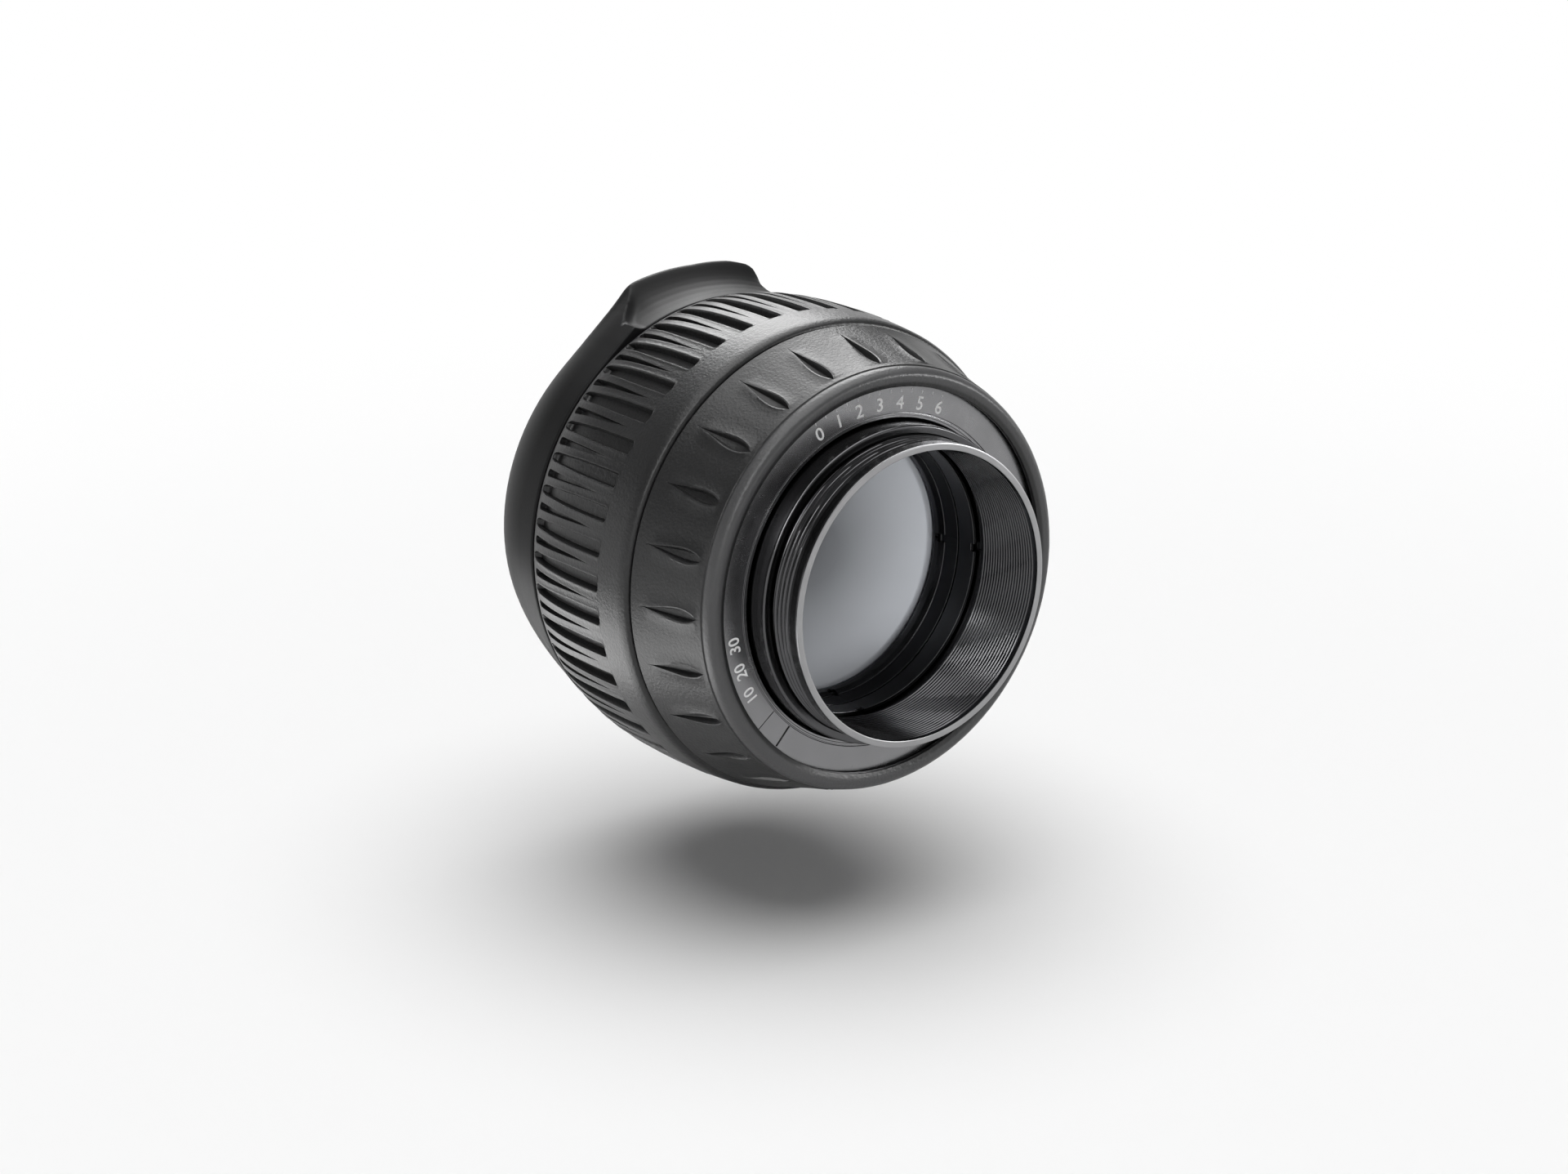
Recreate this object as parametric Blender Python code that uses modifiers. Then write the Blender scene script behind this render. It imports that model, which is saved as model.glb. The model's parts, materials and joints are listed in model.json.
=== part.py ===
"""Thermal imaging lens: an infrared objective with a threaded camera end, a ribbed focus ring that
drives the front cell through three cam pins, and a push-on rubber cap over the objective end.

Every piece is modelled in the lens's own space: z runs from the camera end to the objective end with
0 at the seat, y points up through the cap's tab, and angles are counted from y towards x. One empty
lays that space down, so that the optical axis lies along world Y and the tab points up.
"""

from math import atan, cos, degrees, pi, radians, sin, sqrt

import bmesh
import bpy
from mathutils import Matrix

MM = 0.001

# Fits, and how far a cutter passes through what it cuts
GAP = 0.3 * MM
SEAM = 0.3 * MM
OVERCUT = 1.0 * MM

# Rounds: how many sides the turned pieces have
SKIN_SIDES = 48
METAL_SIDES = 32
INNER_SIDES = 24
SEAL_SIDES = 24
CAM_STEPS = 8

# Mount tube, collar and seat plate
THREAD_RADIUS = 19.5 * MM
TUBE_WALL = 0.9 * MM
TUBE_REACH = 5.3 * MM
RIM_BEVEL = 0.25 * MM
THREAD_RELIEF = 0.55 * MM
RELIEF_WIDTH = 0.6 * MM
RELIEF_SINK = 0.2 * MM
COLLAR_STEP = 1.15 * MM
COLLAR_HEIGHT = 2.9 * MM
GROOVED_BORE = 5.5 * MM
UNDERCUT_DEPTH = 0.35 * MM
UNDERCUT_WIDTH = 1.4 * MM
PLATE_WIDTH = 4.95 * MM
PLATE_THICKNESS = 1.2 * MM
PLATE_BEVEL = 0.15 * MM

# Rings in the tube's bore
BAFFLE_LENGTH = 3.0 * MM
BORE_STEP = 0.1 * MM
SPANNER_NOTCHES = 4
NOTCH_WIDTH = 1.0 * MM
NOTCH_DEPTH = 0.6 * MM
SLOT_DEPTH = 1.0 * MM

# Rear element and its cell
REAR_LENS_LAP = 0.3 * MM
REAR_LENS_EDGE = 3.0 * MM
REAR_FACE_CURVE = 60.0 * MM
REAR_INNER_CURVE = 45.0 * MM
LENS_FLAT = 1.1 * MM
REAR_RING_LENGTH = 4.1 * MM
REAR_RING_MOUTH = 2.3 * MM
REAR_RING_CHAMFER = 0.8 * MM
REAR_CELL_WALL = 3.2 * MM
LEDGE_WIDTH = 1.5 * MM
LEDGE_THICKNESS = 2.2 * MM
SEAL_SECTION = 0.35 * MM
RING_SEAL_PLACE = 2.5 * MM
CELL_SEAL_PLACE = 2.0 * MM

# Housing
BARREL_WALL = 1.6 * MM
SHOULDER_STEP = 2.95 * MM
SLEEVE_LENGTH = 12.5 * MM
SLEEVE_WALL = 1.75 * MM
FLARE_START = 0.9 * MM
SHOULDER_WIDTH = 1.0 * MM
SLEEVE_HEM = 0.2 * MM
RIM_CREST = 1.3 * MM
RIM_LENGTH = 1.7 * MM
RIM_CREASE = 0.15 * MM
LIP_WIDTH = 1.3 * MM
LIP_OVER_PLATE = 0.8 * MM
LIP_HEIGHT = 0.95 * MM
DIMPLE_COUNT = 24
DIMPLE_LENGTH = 8.7 * MM
DIMPLE_WIDTH = 1.9 * MM
DIMPLE_DEPTH = 0.7 * MM
DIMPLE_LIFT = 0.08 * MM
DIMPLE_START = 2.6 * MM
DIMPLE_LEAN = 0.2

# Focus ring and its rubber
RING_LENGTH = 22.1 * MM
RING_WALL = 3.0 * MM
GRIP_WALL = 2.7 * MM
GRIP_NEAR_DROP = 0.8 * MM
GRIP_FAR_DROP = 1.0 * MM
GRIP_ROUND = 0.9 * MM
GRIP_BEVEL = 0.3 * MM
GROUP_COUNT = 45
POCKET_WIDTH = 2.0 * MM
POCKET_FAR_WIDTH = 1.5 * MM
POCKET_LENGTH = 16.0 * MM
POCKET_DEPTH = 1.15 * MM
POCKET_TAIL_DEPTH = 0.35 * MM
SLIT_WIDTH = 0.7 * MM
SLIT_LENGTH = 13.2 * MM
SLIT_DEPTH = 0.35 * MM
GRIP_HEM = 0.8 * MM

# Focus drive
FOCUS_TURN = 100.0
FOCUS_TRAVEL = 1.1 * MM
FOLLOWER_COUNT = 3
FOLLOWER_RADIUS = 1.0 * MM
FOLLOWER_PLACE = 4.0 * MM
FOLLOWER_REACH = 0.5 * MM
FOLLOWER_SOCKET = 1.0 * MM
CAM_GROOVE_SINK = 0.1 * MM
STOP_PIN_RADIUS = 0.6 * MM
STOP_PIN_DEPTH = 2.5 * MM
STOP_PIN_REACH = 1.8 * MM
LOCK_SCREW_COUNT = 3
LOCK_SCREW_RADIUS = 1.0 * MM
LOCK_SCREW_PLACE = 3.2 * MM

# Front element, its cell and the bezel
CELL_WALL = 1.6 * MM
CELL_LENGTH = 18.2 * MM
CELL_PROUD = 2.0 * MM
FRONT_LENS_RADIUS = 22.0 * MM
FRONT_LENS_EDGE = 2.6 * MM
FRONT_FACE_CURVE = 45.0 * MM
FRONT_INNER_CURVE = 62.0 * MM
FRONT_RING_LENGTH = 2.8 * MM
FRONT_RING_SINK = 0.3 * MM
BEZEL_WALL = 2.5 * MM
BEZEL_LENGTH = 4.6 * MM
BEZEL_LIP = 0.7 * MM
BEZEL_BEVEL = 0.5 * MM
WASHER_THICKNESS = 0.5 * MM
WASHER_INSET = 0.6 * MM

# Cap: its shoulder is an arc that ends at an angle short of its slightly domed back
CAP_WALL = 2.1 * MM
CAP_LENGTH = 17.0 * MM
CAP_ROUND = 14.5 * MM
CAP_ARC_END = 64.0
CAP_DOME = 0.6 * MM
CAP_GAP = 0.5 * MM
CAP_LIP_BEVEL = 0.35 * MM
TAB_HEIGHT = 3.7 * MM
TAB_HALF_ANGLE = 17.0
TAB_FLANK_ANGLE = 21.0
SCOOP_HALF_ANGLE = 21.5
# The tab's side view: share of the way from the lip to the back, and shares of the tab's height there
# inside the scoop and beside it
TAB_SIDE = (
    (0.02, 0.0, 0.82),
    (0.18, 0.08, 0.82),
    (0.33, 0.28, 0.82),
    (0.42, 0.66, 0.86),
    (0.48, 0.98, 0.98),
    (0.53, 1.0, 1.0),
    (0.60, 0.85, 0.85),
    (0.70, 0.55, 0.55),
    (0.82, 0.2, 0.2),
    (0.92, 0.0, 0.0),
    (1.0, 0.0, 0.0),
)

# Colours and finishes: base colour, roughness, metallic
RUBBER = ((0.035, 0.035, 0.036, 1.0), 0.62, 0.0)
CAP_RUBBER = ((0.022, 0.022, 0.023, 1.0), 0.48, 0.0)
ANODISED = ((0.012, 0.012, 0.013, 1.0), 0.28, 0.9)
SATIN = ((0.10, 0.10, 0.105, 1.0), 0.42, 0.85)
STEEL = ((0.45, 0.45, 0.46, 1.0), 0.32, 1.0)
COATED_GLASS = ((0.32, 0.34, 0.37, 1.0), 0.06, 0.9)
SEAL_RUBBER = ((0.015, 0.015, 0.015, 1.0), 0.7, 0.0)
SLIDE_PLASTIC = ((0.75, 0.74, 0.70, 1.0), 0.45, 0.0)

# Places along the axis, from the camera end to the objective end
RIM_Z = -TUBE_REACH
PLATE_Z = COLLAR_HEIGHT
BARREL_Z = PLATE_Z + PLATE_THICKNESS + GAP
UNDERCUT_Z = GROOVED_BORE
BAFFLE_Z = UNDERCUT_Z + UNDERCUT_WIDTH + GAP
TUBE_END_Z = BAFFLE_Z + BAFFLE_LENGTH
CELL_START_Z = TUBE_END_Z + GAP
REAR_LENS_Z = CELL_START_Z + REAR_RING_LENGTH + GAP
REAR_SEAL_Z = REAR_LENS_Z + REAR_LENS_EDGE + GAP
REAR_LEDGE_Z = REAR_SEAL_Z + 2 * SEAL_SECTION + GAP
REAR_CELL_END_Z = REAR_LEDGE_Z + LEDGE_THICKNESS
SLEEVE_Z = PLATE_Z - RIM_CREST
SLEEVE_ROOT_Z = SLEEVE_Z + RIM_LENGTH
SHOULDER_Z = SLEEVE_Z + SLEEVE_LENGTH
RING_Z = SHOULDER_Z + SEAM
GRIP_END_Z = RING_Z + RING_LENGTH
BEZEL_Z = GRIP_END_Z - GRIP_HEM + GAP
WASHER_Z = BEZEL_Z - GAP - WASHER_THICKNESS
RING_END_Z = WASHER_Z - GAP
BEZEL_END_Z = BEZEL_Z + BEZEL_LENGTH
BARREL_END_Z = BEZEL_END_Z - BEZEL_LIP - GAP
CAP_Z = GRIP_END_Z + CAP_GAP
CAP_END_Z = CAP_Z + CAP_LENGTH
CAP_SHOULDER_Z = CAP_END_Z - CAP_DOME - CAP_ROUND * sin(radians(CAP_ARC_END))
CELL_END_Z = BEZEL_END_Z + CELL_PROUD
CELL_Z = CELL_END_Z - CELL_LENGTH
FRONT_RING_Z = CELL_END_Z - FRONT_RING_SINK - FRONT_RING_LENGTH
FRONT_LENS_Z = FRONT_RING_Z - GAP - FRONT_LENS_EDGE
FRONT_SEAL_Z = FRONT_LENS_Z - GAP - 2 * SEAL_SECTION
FRONT_LEDGE_Z = FRONT_SEAL_Z - GAP
FOLLOWER_Z = CELL_Z + FOLLOWER_PLACE
LOCK_SCREW_Z = BARREL_Z + LOCK_SCREW_PLACE
SEAL_GROOVE = 2 * SEAL_SECTION + GAP
TUBE_SEAL_Z = BARREL_Z + SEAL_SECTION
RING_SEAL_Z = RING_Z + RING_SEAL_PLACE
CELL_SEAL_Z = FRONT_LEDGE_Z - CELL_SEAL_PLACE

# Radii, each from what it fits in
TUBE_BORE = THREAD_RADIUS - TUBE_WALL
INNER_BORE = TUBE_BORE - BORE_STEP
REAR_LENS_RADIUS = TUBE_BORE + REAR_LENS_LAP
COLLAR_RADIUS = THREAD_RADIUS + COLLAR_STEP
PLATE_BORE = COLLAR_RADIUS + GAP
PLATE_RADIUS = PLATE_BORE + PLATE_WIDTH
LIP_RADIUS = PLATE_RADIUS - LIP_OVER_PLATE
BARREL_TUBE_BORE = COLLAR_RADIUS + GAP
REAR_CLEAR_RADIUS = REAR_LENS_RADIUS - LENS_FLAT
REAR_CELL_BORE = REAR_LENS_RADIUS + GAP
REAR_CELL_RADIUS = REAR_CELL_BORE + REAR_CELL_WALL
CELL_BORE = FRONT_LENS_RADIUS + GAP
CELL_RADIUS = CELL_BORE + CELL_WALL
BARREL_BORE = CELL_RADIUS + GAP
BARREL_RADIUS = BARREL_BORE + BARREL_WALL
RING_BORE = BARREL_RADIUS + GAP
RING_RADIUS = RING_BORE + RING_WALL
GRIP_BORE = RING_RADIUS + GAP
GRIP_RADIUS = GRIP_BORE + GRIP_WALL
SHOULDER_RADIUS = BARREL_RADIUS + SHOULDER_STEP
STOP_PIN_PLACE = (RING_BORE + SHOULDER_RADIUS) / 2
SLEEVE_END_RADIUS = SHOULDER_RADIUS + GAP + SLEEVE_WALL
BEZEL_BORE = BARREL_RADIUS + GAP
BEZEL_RADIUS = BEZEL_BORE + BEZEL_WALL
CAP_BORE = BEZEL_RADIUS + GAP
CAP_RADIUS = CAP_BORE + CAP_WALL


def clear_scene():
    """Empties the scene and makes the collections for the parts and the cutters."""
    for item in list(bpy.data.objects):
        bpy.data.objects.remove(item, do_unlink=True)
    parts = bpy.data.collections.new("thermal_imaging_lens")
    cutters = bpy.data.collections.new("cutters")
    for collection in (parts, cutters):
        bpy.context.scene.collection.children.link(collection)
    return parts, cutters


PARTS, CUTTERS = clear_scene()


def lens_axis():
    """The empty that lays the lens down: its z is world Y, its y is world Z."""
    axis = bpy.data.objects.new("optical_axis", None)
    axis.rotation_euler = (pi / 2, 0.0, pi)
    PARTS.objects.link(axis)
    return axis


AXIS = lens_axis()


def finish(name, look):
    """A Principled material, made once for each finish."""
    if name in bpy.data.materials:
        return bpy.data.materials[name]
    colour, roughness, metallic = look
    material = bpy.data.materials.new(name)
    material.use_nodes = True
    shader = material.node_tree.nodes["Principled BSDF"]
    shader.inputs["Base Color"].default_value = colour
    shader.inputs["Roughness"].default_value = roughness
    shader.inputs["Metallic"].default_value = metallic
    material.diffuse_color = colour
    return material


def piece(name, mesh, material):
    """A part with its material, placed on the optical axis."""
    item = bpy.data.objects.new(name, mesh)
    item.parent = AXIS
    mesh.materials.append(material)
    PARTS.objects.link(item)
    return item


def cutter(name, mesh):
    """A cutting body, kept out of renders and of the built parts."""
    item = bpy.data.objects.new(name, mesh)
    item.parent = AXIS
    item.hide_render = True
    item.display_type = "WIRE"
    CUTTERS.objects.link(item)
    return item


def mesh_of(bm, name):
    """Closes a bmesh into a mesh whose faces point out."""
    bmesh.ops.recalc_face_normals(bm, faces=bm.faces)
    mesh = bpy.data.meshes.new(name)
    bm.to_mesh(mesh)
    bm.free()
    return mesh


def outline_mesh(name, outline):
    """Edges through (radius, z) points at +X, turned so that the outer side runs down. An outline that
    starts and ends on the axis stays open there, and any other is closed."""
    points = list(outline)
    area = sum(a[0] * b[1] - b[0] * a[1] for a, b in zip(points, points[1:] + points[:1]))
    if area > 0:
        points.reverse()
    count = len(points)
    closed = points[0][0] > 0 or points[-1][0] > 0
    edges = [(i, (i + 1) % count) for i in range(count if closed else count - 1)]
    mesh = bpy.data.meshes.new(name)
    mesh.from_pydata([(radius, 0.0, z) for radius, z in points], edges, [])
    return mesh


def spin(item, sides):
    """Turns an outline about the optical axis."""
    screw = item.modifiers.new("turn", "SCREW")
    screw.axis = "Z"
    screw.angle = 2 * pi
    screw.steps = sides
    screw.render_steps = sides
    screw.use_merge_vertices = True
    screw.merge_threshold = 0.000005
    screw.use_smooth_shade = True
    return item


def turned(name, outline, material, sides=METAL_SIDES):
    """A turned part."""
    return spin(piece(name, outline_mesh(name, outline), material), sides)


def ring_outline(inner, outer, start, end):
    """A plain ring's section."""
    return [(inner, start), (outer, start), (outer, end), (inner, end)]


def cut(item, tool):
    """Takes a cutter's shape out of a part."""
    boolean = item.modifiers.new(tool.name, "BOOLEAN")
    boolean.operation = "DIFFERENCE"
    boolean.solver = "EXACT"
    boolean.object = tool
    return item


def at_angle(angle):
    """The turn about the axis that takes the top to an angle counted from y towards x."""
    return Matrix.Rotation(-radians(angle), 4, "Z")


def repeat_around(bm, count, start=0.0):
    """Copies what a bmesh holds to evenly spaced angles about the axis."""
    base = bm.verts[:] + bm.edges[:] + bm.faces[:]
    for i in range(1, count):
        copy = bmesh.ops.duplicate(bm, geom=base)["geom"]
        verts = [part for part in copy if isinstance(part, bmesh.types.BMVert)]
        bmesh.ops.transform(bm, matrix=at_angle(360.0 * i / count), verts=verts)
    bmesh.ops.transform(bm, matrix=at_angle(start), verts=bm.verts[:])


def block(bm, size, centre):
    """Adds a box to a bmesh."""
    matrix = Matrix.Translation(centre) @ Matrix.Diagonal((*size, 1.0))
    bmesh.ops.create_cube(bm, size=1.0, matrix=matrix)


def radial_rod(bm, radius, inner, outer, z, sides=16):
    """Adds a cylinder that points out of the axis at the top."""
    matrix = Matrix.Translation((0.0, (inner + outer) / 2, z)) @ Matrix.Rotation(pi / 2, 4, "X")
    bmesh.ops.create_cone(bm, cap_ends=True, segments=sides, radius1=radius, radius2=radius,
                          depth=outer - inner, matrix=matrix)


def smoothstep(value):
    """0 below 0, 1 above 1, and a smooth rise between."""
    value = min(1.0, max(0.0, value))
    return value * value * (3.0 - 2.0 * value)


def sag(radius, curve):
    """How far a lens face of that curve falls away at a radius."""
    return curve - sqrt(curve * curve - radius * radius)


# Camera end
def mount_tube():
    """Threaded tube, collar and the plain shank that sits in the housing, bored in steps. The fine
    thread's crests lie on its outer wall, and its relief is sunk into the collar's face, so that the
    camera seats on that face alone."""
    root = THREAD_RADIUS - THREAD_RELIEF
    counterbore = TUBE_BORE + UNDERCUT_DEPTH + GAP
    outline = [
        (TUBE_BORE + RIM_BEVEL, RIM_Z),
        (THREAD_RADIUS - RIM_BEVEL, RIM_Z),
        (THREAD_RADIUS, RIM_Z + RIM_BEVEL),
        (THREAD_RADIUS, -RELIEF_WIDTH),
        (root, -RELIEF_WIDTH),
        (root, RELIEF_SINK),
        (THREAD_RADIUS, RELIEF_SINK),
        (THREAD_RADIUS + RELIEF_SINK, 0.0),
        (COLLAR_RADIUS - RIM_BEVEL, 0.0),
        (COLLAR_RADIUS, RIM_BEVEL),
        (COLLAR_RADIUS, TUBE_END_Z),
        (counterbore, TUBE_END_Z),
        (counterbore, UNDERCUT_Z),
        (TUBE_BORE, UNDERCUT_Z),
        (TUBE_BORE, RIM_Z + RIM_BEVEL),
    ]
    return turned("mount_tube", outline, finish("anodised", ANODISED))


def seat_plate():
    """Flat satin ring round the collar, its near edges broken."""
    end = PLATE_Z + PLATE_THICKNESS
    outline = [
        (PLATE_BORE + PLATE_BEVEL, PLATE_Z), (PLATE_RADIUS - PLATE_BEVEL, PLATE_Z),
        (PLATE_RADIUS, PLATE_Z + PLATE_BEVEL), (PLATE_RADIUS, end), (PLATE_BORE, end),
        (PLATE_BORE, PLATE_Z + PLATE_BEVEL),
    ]
    return turned("seat_plate", outline, finish("satin", SATIN))


def baffle_ring():
    """Ring in the tube's counterbore, with spanner notches in its near face."""
    outer = TUBE_BORE + UNDERCUT_DEPTH
    inner = INNER_BORE
    outline = ring_outline(inner, outer, BAFFLE_Z, TUBE_END_Z)
    ring = turned("baffle_ring", outline, finish("anodised", ANODISED), INNER_SIDES)
    bm = bmesh.new()
    block(bm, (NOTCH_WIDTH, 2 * (outer - inner + OVERCUT), 2 * NOTCH_DEPTH), (0.0, inner, BAFFLE_Z))
    repeat_around(bm, SPANNER_NOTCHES)
    return cut(ring, cutter("baffle_notches", mesh_of(bm, "baffle_notches")))


# Rear element
def rear_retaining_ring():
    """Stepped ring that holds the rear element, with spanner slots in its step."""
    outer = REAR_LENS_RADIUS
    step = (INNER_BORE + REAR_CLEAR_RADIUS) / 2
    step_z = CELL_START_Z + REAR_RING_MOUTH
    end = CELL_START_Z + REAR_RING_LENGTH
    outline = [
        (INNER_BORE, CELL_START_Z), (outer, CELL_START_Z), (outer, end), (REAR_CLEAR_RADIUS, end),
        (REAR_CLEAR_RADIUS, step_z + REAR_RING_CHAMFER), (step, step_z), (step + BORE_STEP, step_z),
    ]
    ring = turned("rear_retaining_ring", outline, finish("anodised", ANODISED), INNER_SIDES)
    bm = bmesh.new()
    block(bm, (NOTCH_WIDTH, 2 * NOTCH_DEPTH, 2 * SLOT_DEPTH), (0.0, REAR_CLEAR_RADIUS, step_z))
    repeat_around(bm, SPANNER_NOTCHES)
    return cut(ring, cutter("rear_ring_slots", mesh_of(bm, "rear_ring_slots")))


def lens_outline(radius, near_z, edge, near_curve, far_curve, rings=3):
    """Section of a meniscus lens from its near pole over the edge to its far pole. Both faces bulge
    towards +z inside a flat rim."""
    clear = radius - LENS_FLAT

    def face(z, curve):
        steps = [clear * i / rings for i in range(rings + 1)]
        return [(step, z + sag(clear, curve) - sag(step, curve)) for step in steps] + [(radius, z)]
    return face(near_z, near_curve) + face(near_z + edge, far_curve)[::-1]


def rear_lens():
    """Rear element: a weak meniscus that bulges towards the objective."""
    outline = lens_outline(REAR_LENS_RADIUS, REAR_LENS_Z, REAR_LENS_EDGE, REAR_FACE_CURVE,
                           REAR_INNER_CURVE)
    return turned("rear_lens", outline, finish("coated_glass", COATED_GLASS), INNER_SIDES)


def o_ring(name, radius, z, sides=4):
    """A seal of round section."""
    turns = [2 * pi * i / sides for i in range(sides)]
    outline = [(radius + SEAL_SECTION * cos(turn), z + SEAL_SECTION * sin(turn)) for turn in turns]
    return turned(name, outline, finish("seal_rubber", SEAL_RUBBER), SEAL_SIDES)


def groove_outline(radius, z):
    """Four points of a seal groove turned into a wall of that radius, about a place along the axis."""
    half = SEAL_SECTION + GAP
    floor = radius - SEAL_GROOVE
    return [(radius, z - half), (floor, z - half), (floor, z + half), (radius, z + half)]


def rear_lens_seal():
    """Seal between the rear element and its ledge."""
    return o_ring("rear_lens_seal", REAR_CELL_BORE - GAP - SEAL_SECTION, REAR_SEAL_Z + SEAL_SECTION)


def rear_cell():
    """Ring in the housing that seats the rear element on a ledge."""
    outline = [
        (REAR_CELL_BORE, CELL_START_Z), (REAR_CELL_RADIUS, CELL_START_Z), (REAR_CELL_RADIUS, REAR_CELL_END_Z),
        (REAR_CELL_BORE - LEDGE_WIDTH, REAR_CELL_END_Z), (REAR_CELL_BORE - LEDGE_WIDTH, REAR_LEDGE_Z),
        (REAR_CELL_BORE, REAR_LEDGE_Z),
    ]
    return turned("rear_cell", outline, finish("anodised", ANODISED), INNER_SIDES)


# Housing
def sleeve_radius(z):
    """Outer radius of the rubber sleeve on its cone, from its root at the rim to the seam."""
    run = (z - SLEEVE_ROOT_Z) / (SHOULDER_Z - SLEEVE_ROOT_Z)
    root = PLATE_RADIUS + SLEEVE_WALL
    return root + (SLEEVE_END_RADIUS - root) * (0.8 * run + 0.2 * run * run)


def flare():
    """The housing's wall under the sleeve, from its back to the shoulder, as (radius, z) points."""
    steps = [BARREL_Z + FLARE_START, (BARREL_Z + SHOULDER_Z) / 2]
    cone = [(sleeve_radius(z) - SLEEVE_WALL - GAP, z) for z in steps]
    shoulder = [(SHOULDER_RADIUS, z) for z in (SHOULDER_Z - SHOULDER_WIDTH, SHOULDER_Z)]
    return [(PLATE_RADIUS, BARREL_Z)] + cone + shoulder


def main_barrel():
    """The housing: a back wall that takes the tube and the rear cell, a flared shoulder under the
    sleeve, and the long neck on which the focus ring turns, with a straight slot for each cam pin."""
    outline = [
        (BARREL_TUBE_BORE + SEAL_GROOVE, BARREL_Z),
        *flare(),
        (BARREL_RADIUS, SHOULDER_Z),
        *groove_outline(BARREL_RADIUS, RING_SEAL_Z),
        (BARREL_RADIUS, BARREL_END_Z),
        (BARREL_BORE, BARREL_END_Z),
        (BARREL_BORE, REAR_CELL_END_Z),
        (REAR_CELL_RADIUS + GAP, REAR_CELL_END_Z),
        (REAR_CELL_RADIUS + GAP, TUBE_END_Z),
        (BARREL_TUBE_BORE, TUBE_END_Z),
        (BARREL_TUBE_BORE, BARREL_Z + SEAL_GROOVE),
        (BARREL_TUBE_BORE + SEAL_GROOVE, BARREL_Z + SEAL_GROOVE),
    ]
    barrel = turned("main_barrel", outline, finish("anodised", ANODISED))
    bm = bmesh.new()
    width = 2 * (FOLLOWER_RADIUS + GAP)
    size = (width, 2 * (BARREL_WALL + OVERCUT), FOCUS_TRAVEL + width)
    block(bm, size, (0.0, BARREL_RADIUS, FOLLOWER_Z))
    repeat_around(bm, FOLLOWER_COUNT)
    cut(barrel, cutter("follower_slots", mesh_of(bm, "follower_slots")))
    bm = bmesh.new()
    outer = sleeve_radius(LOCK_SCREW_Z)
    radial_rod(bm, LOCK_SCREW_RADIUS + GAP, BARREL_TUBE_BORE - OVERCUT, outer, LOCK_SCREW_Z, 12)
    repeat_around(bm, LOCK_SCREW_COUNT, 60.0)
    cut(barrel, cutter("lock_screw_holes", mesh_of(bm, "lock_screw_holes")))
    bm = bmesh.new()
    stop_rod(bm, STOP_PIN_RADIUS + GAP, SHOULDER_Z - STOP_PIN_DEPTH - GAP, SHOULDER_Z + OVERCUT)
    return cut(barrel, cutter("stop_pin_hole", mesh_of(bm, "stop_pin_hole")))


def lock_screws():
    """Headless screws that lock the tube in the housing, under the sleeve."""
    outer = sleeve_radius(LOCK_SCREW_Z) - SLEEVE_WALL - 2 * GAP
    for i in range(LOCK_SCREW_COUNT):
        name = f"lock_screw_{i + 1}"
        bm = bmesh.new()
        radial_rod(bm, LOCK_SCREW_RADIUS, BARREL_TUBE_BORE, outer, LOCK_SCREW_Z, 12)
        bmesh.ops.transform(bm, matrix=at_angle(60.0 + 360.0 * i / LOCK_SCREW_COUNT), verts=bm.verts[:])
        piece(name, mesh_of(bm, name), finish("steel", STEEL))


def stop_rod(bm, radius, start, end):
    """A rod along the axis at the stop pin's place, straight below the axis."""
    matrix = Matrix.Translation((0.0, -STOP_PIN_PLACE, (start + end) / 2))
    bmesh.ops.create_cone(bm, cap_ends=True, segments=12, radius1=radius, radius2=radius,
                          depth=end - start, matrix=matrix)


def stop_pin():
    """Pin in the housing's shoulder that ends in the focus ring's slot."""
    bm = bmesh.new()
    stop_rod(bm, STOP_PIN_RADIUS, SHOULDER_Z - STOP_PIN_DEPTH, SHOULDER_Z + STOP_PIN_REACH)
    return piece("stop_pin", mesh_of(bm, "stop_pin"), finish("steel", STEEL))


def leaf(bm, half_width, depth, half_length, lean):
    """A pointed leaf-shaped body: a sphere whose width falls off twice, widest before its middle."""
    sphere = bmesh.ops.create_uvsphere(bm, u_segments=6, v_segments=6, radius=1.0)
    for vert in sphere["verts"]:
        x, y, z = vert.co
        fall = sqrt(max(0.0, 1.0 - z * z))
        vert.co = (x * fall * half_width, y * depth, (z - lean * (1.0 - z * z)) * half_length)


def rim_arc(steps=3):
    """The sleeve's rounded rim as (radius, z) points, from its crest to the crease at its root."""
    crest = LIP_RADIUS + LIP_WIDTH
    width = PLATE_RADIUS + SLEEVE_WALL - RIM_CREASE - crest
    turns = [pi / 2 * i / steps for i in range(steps + 1)]
    return [(crest + width * sin(turn), SLEEVE_Z + RIM_LENGTH * (1 - cos(turn))) for turn in turns]


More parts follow.
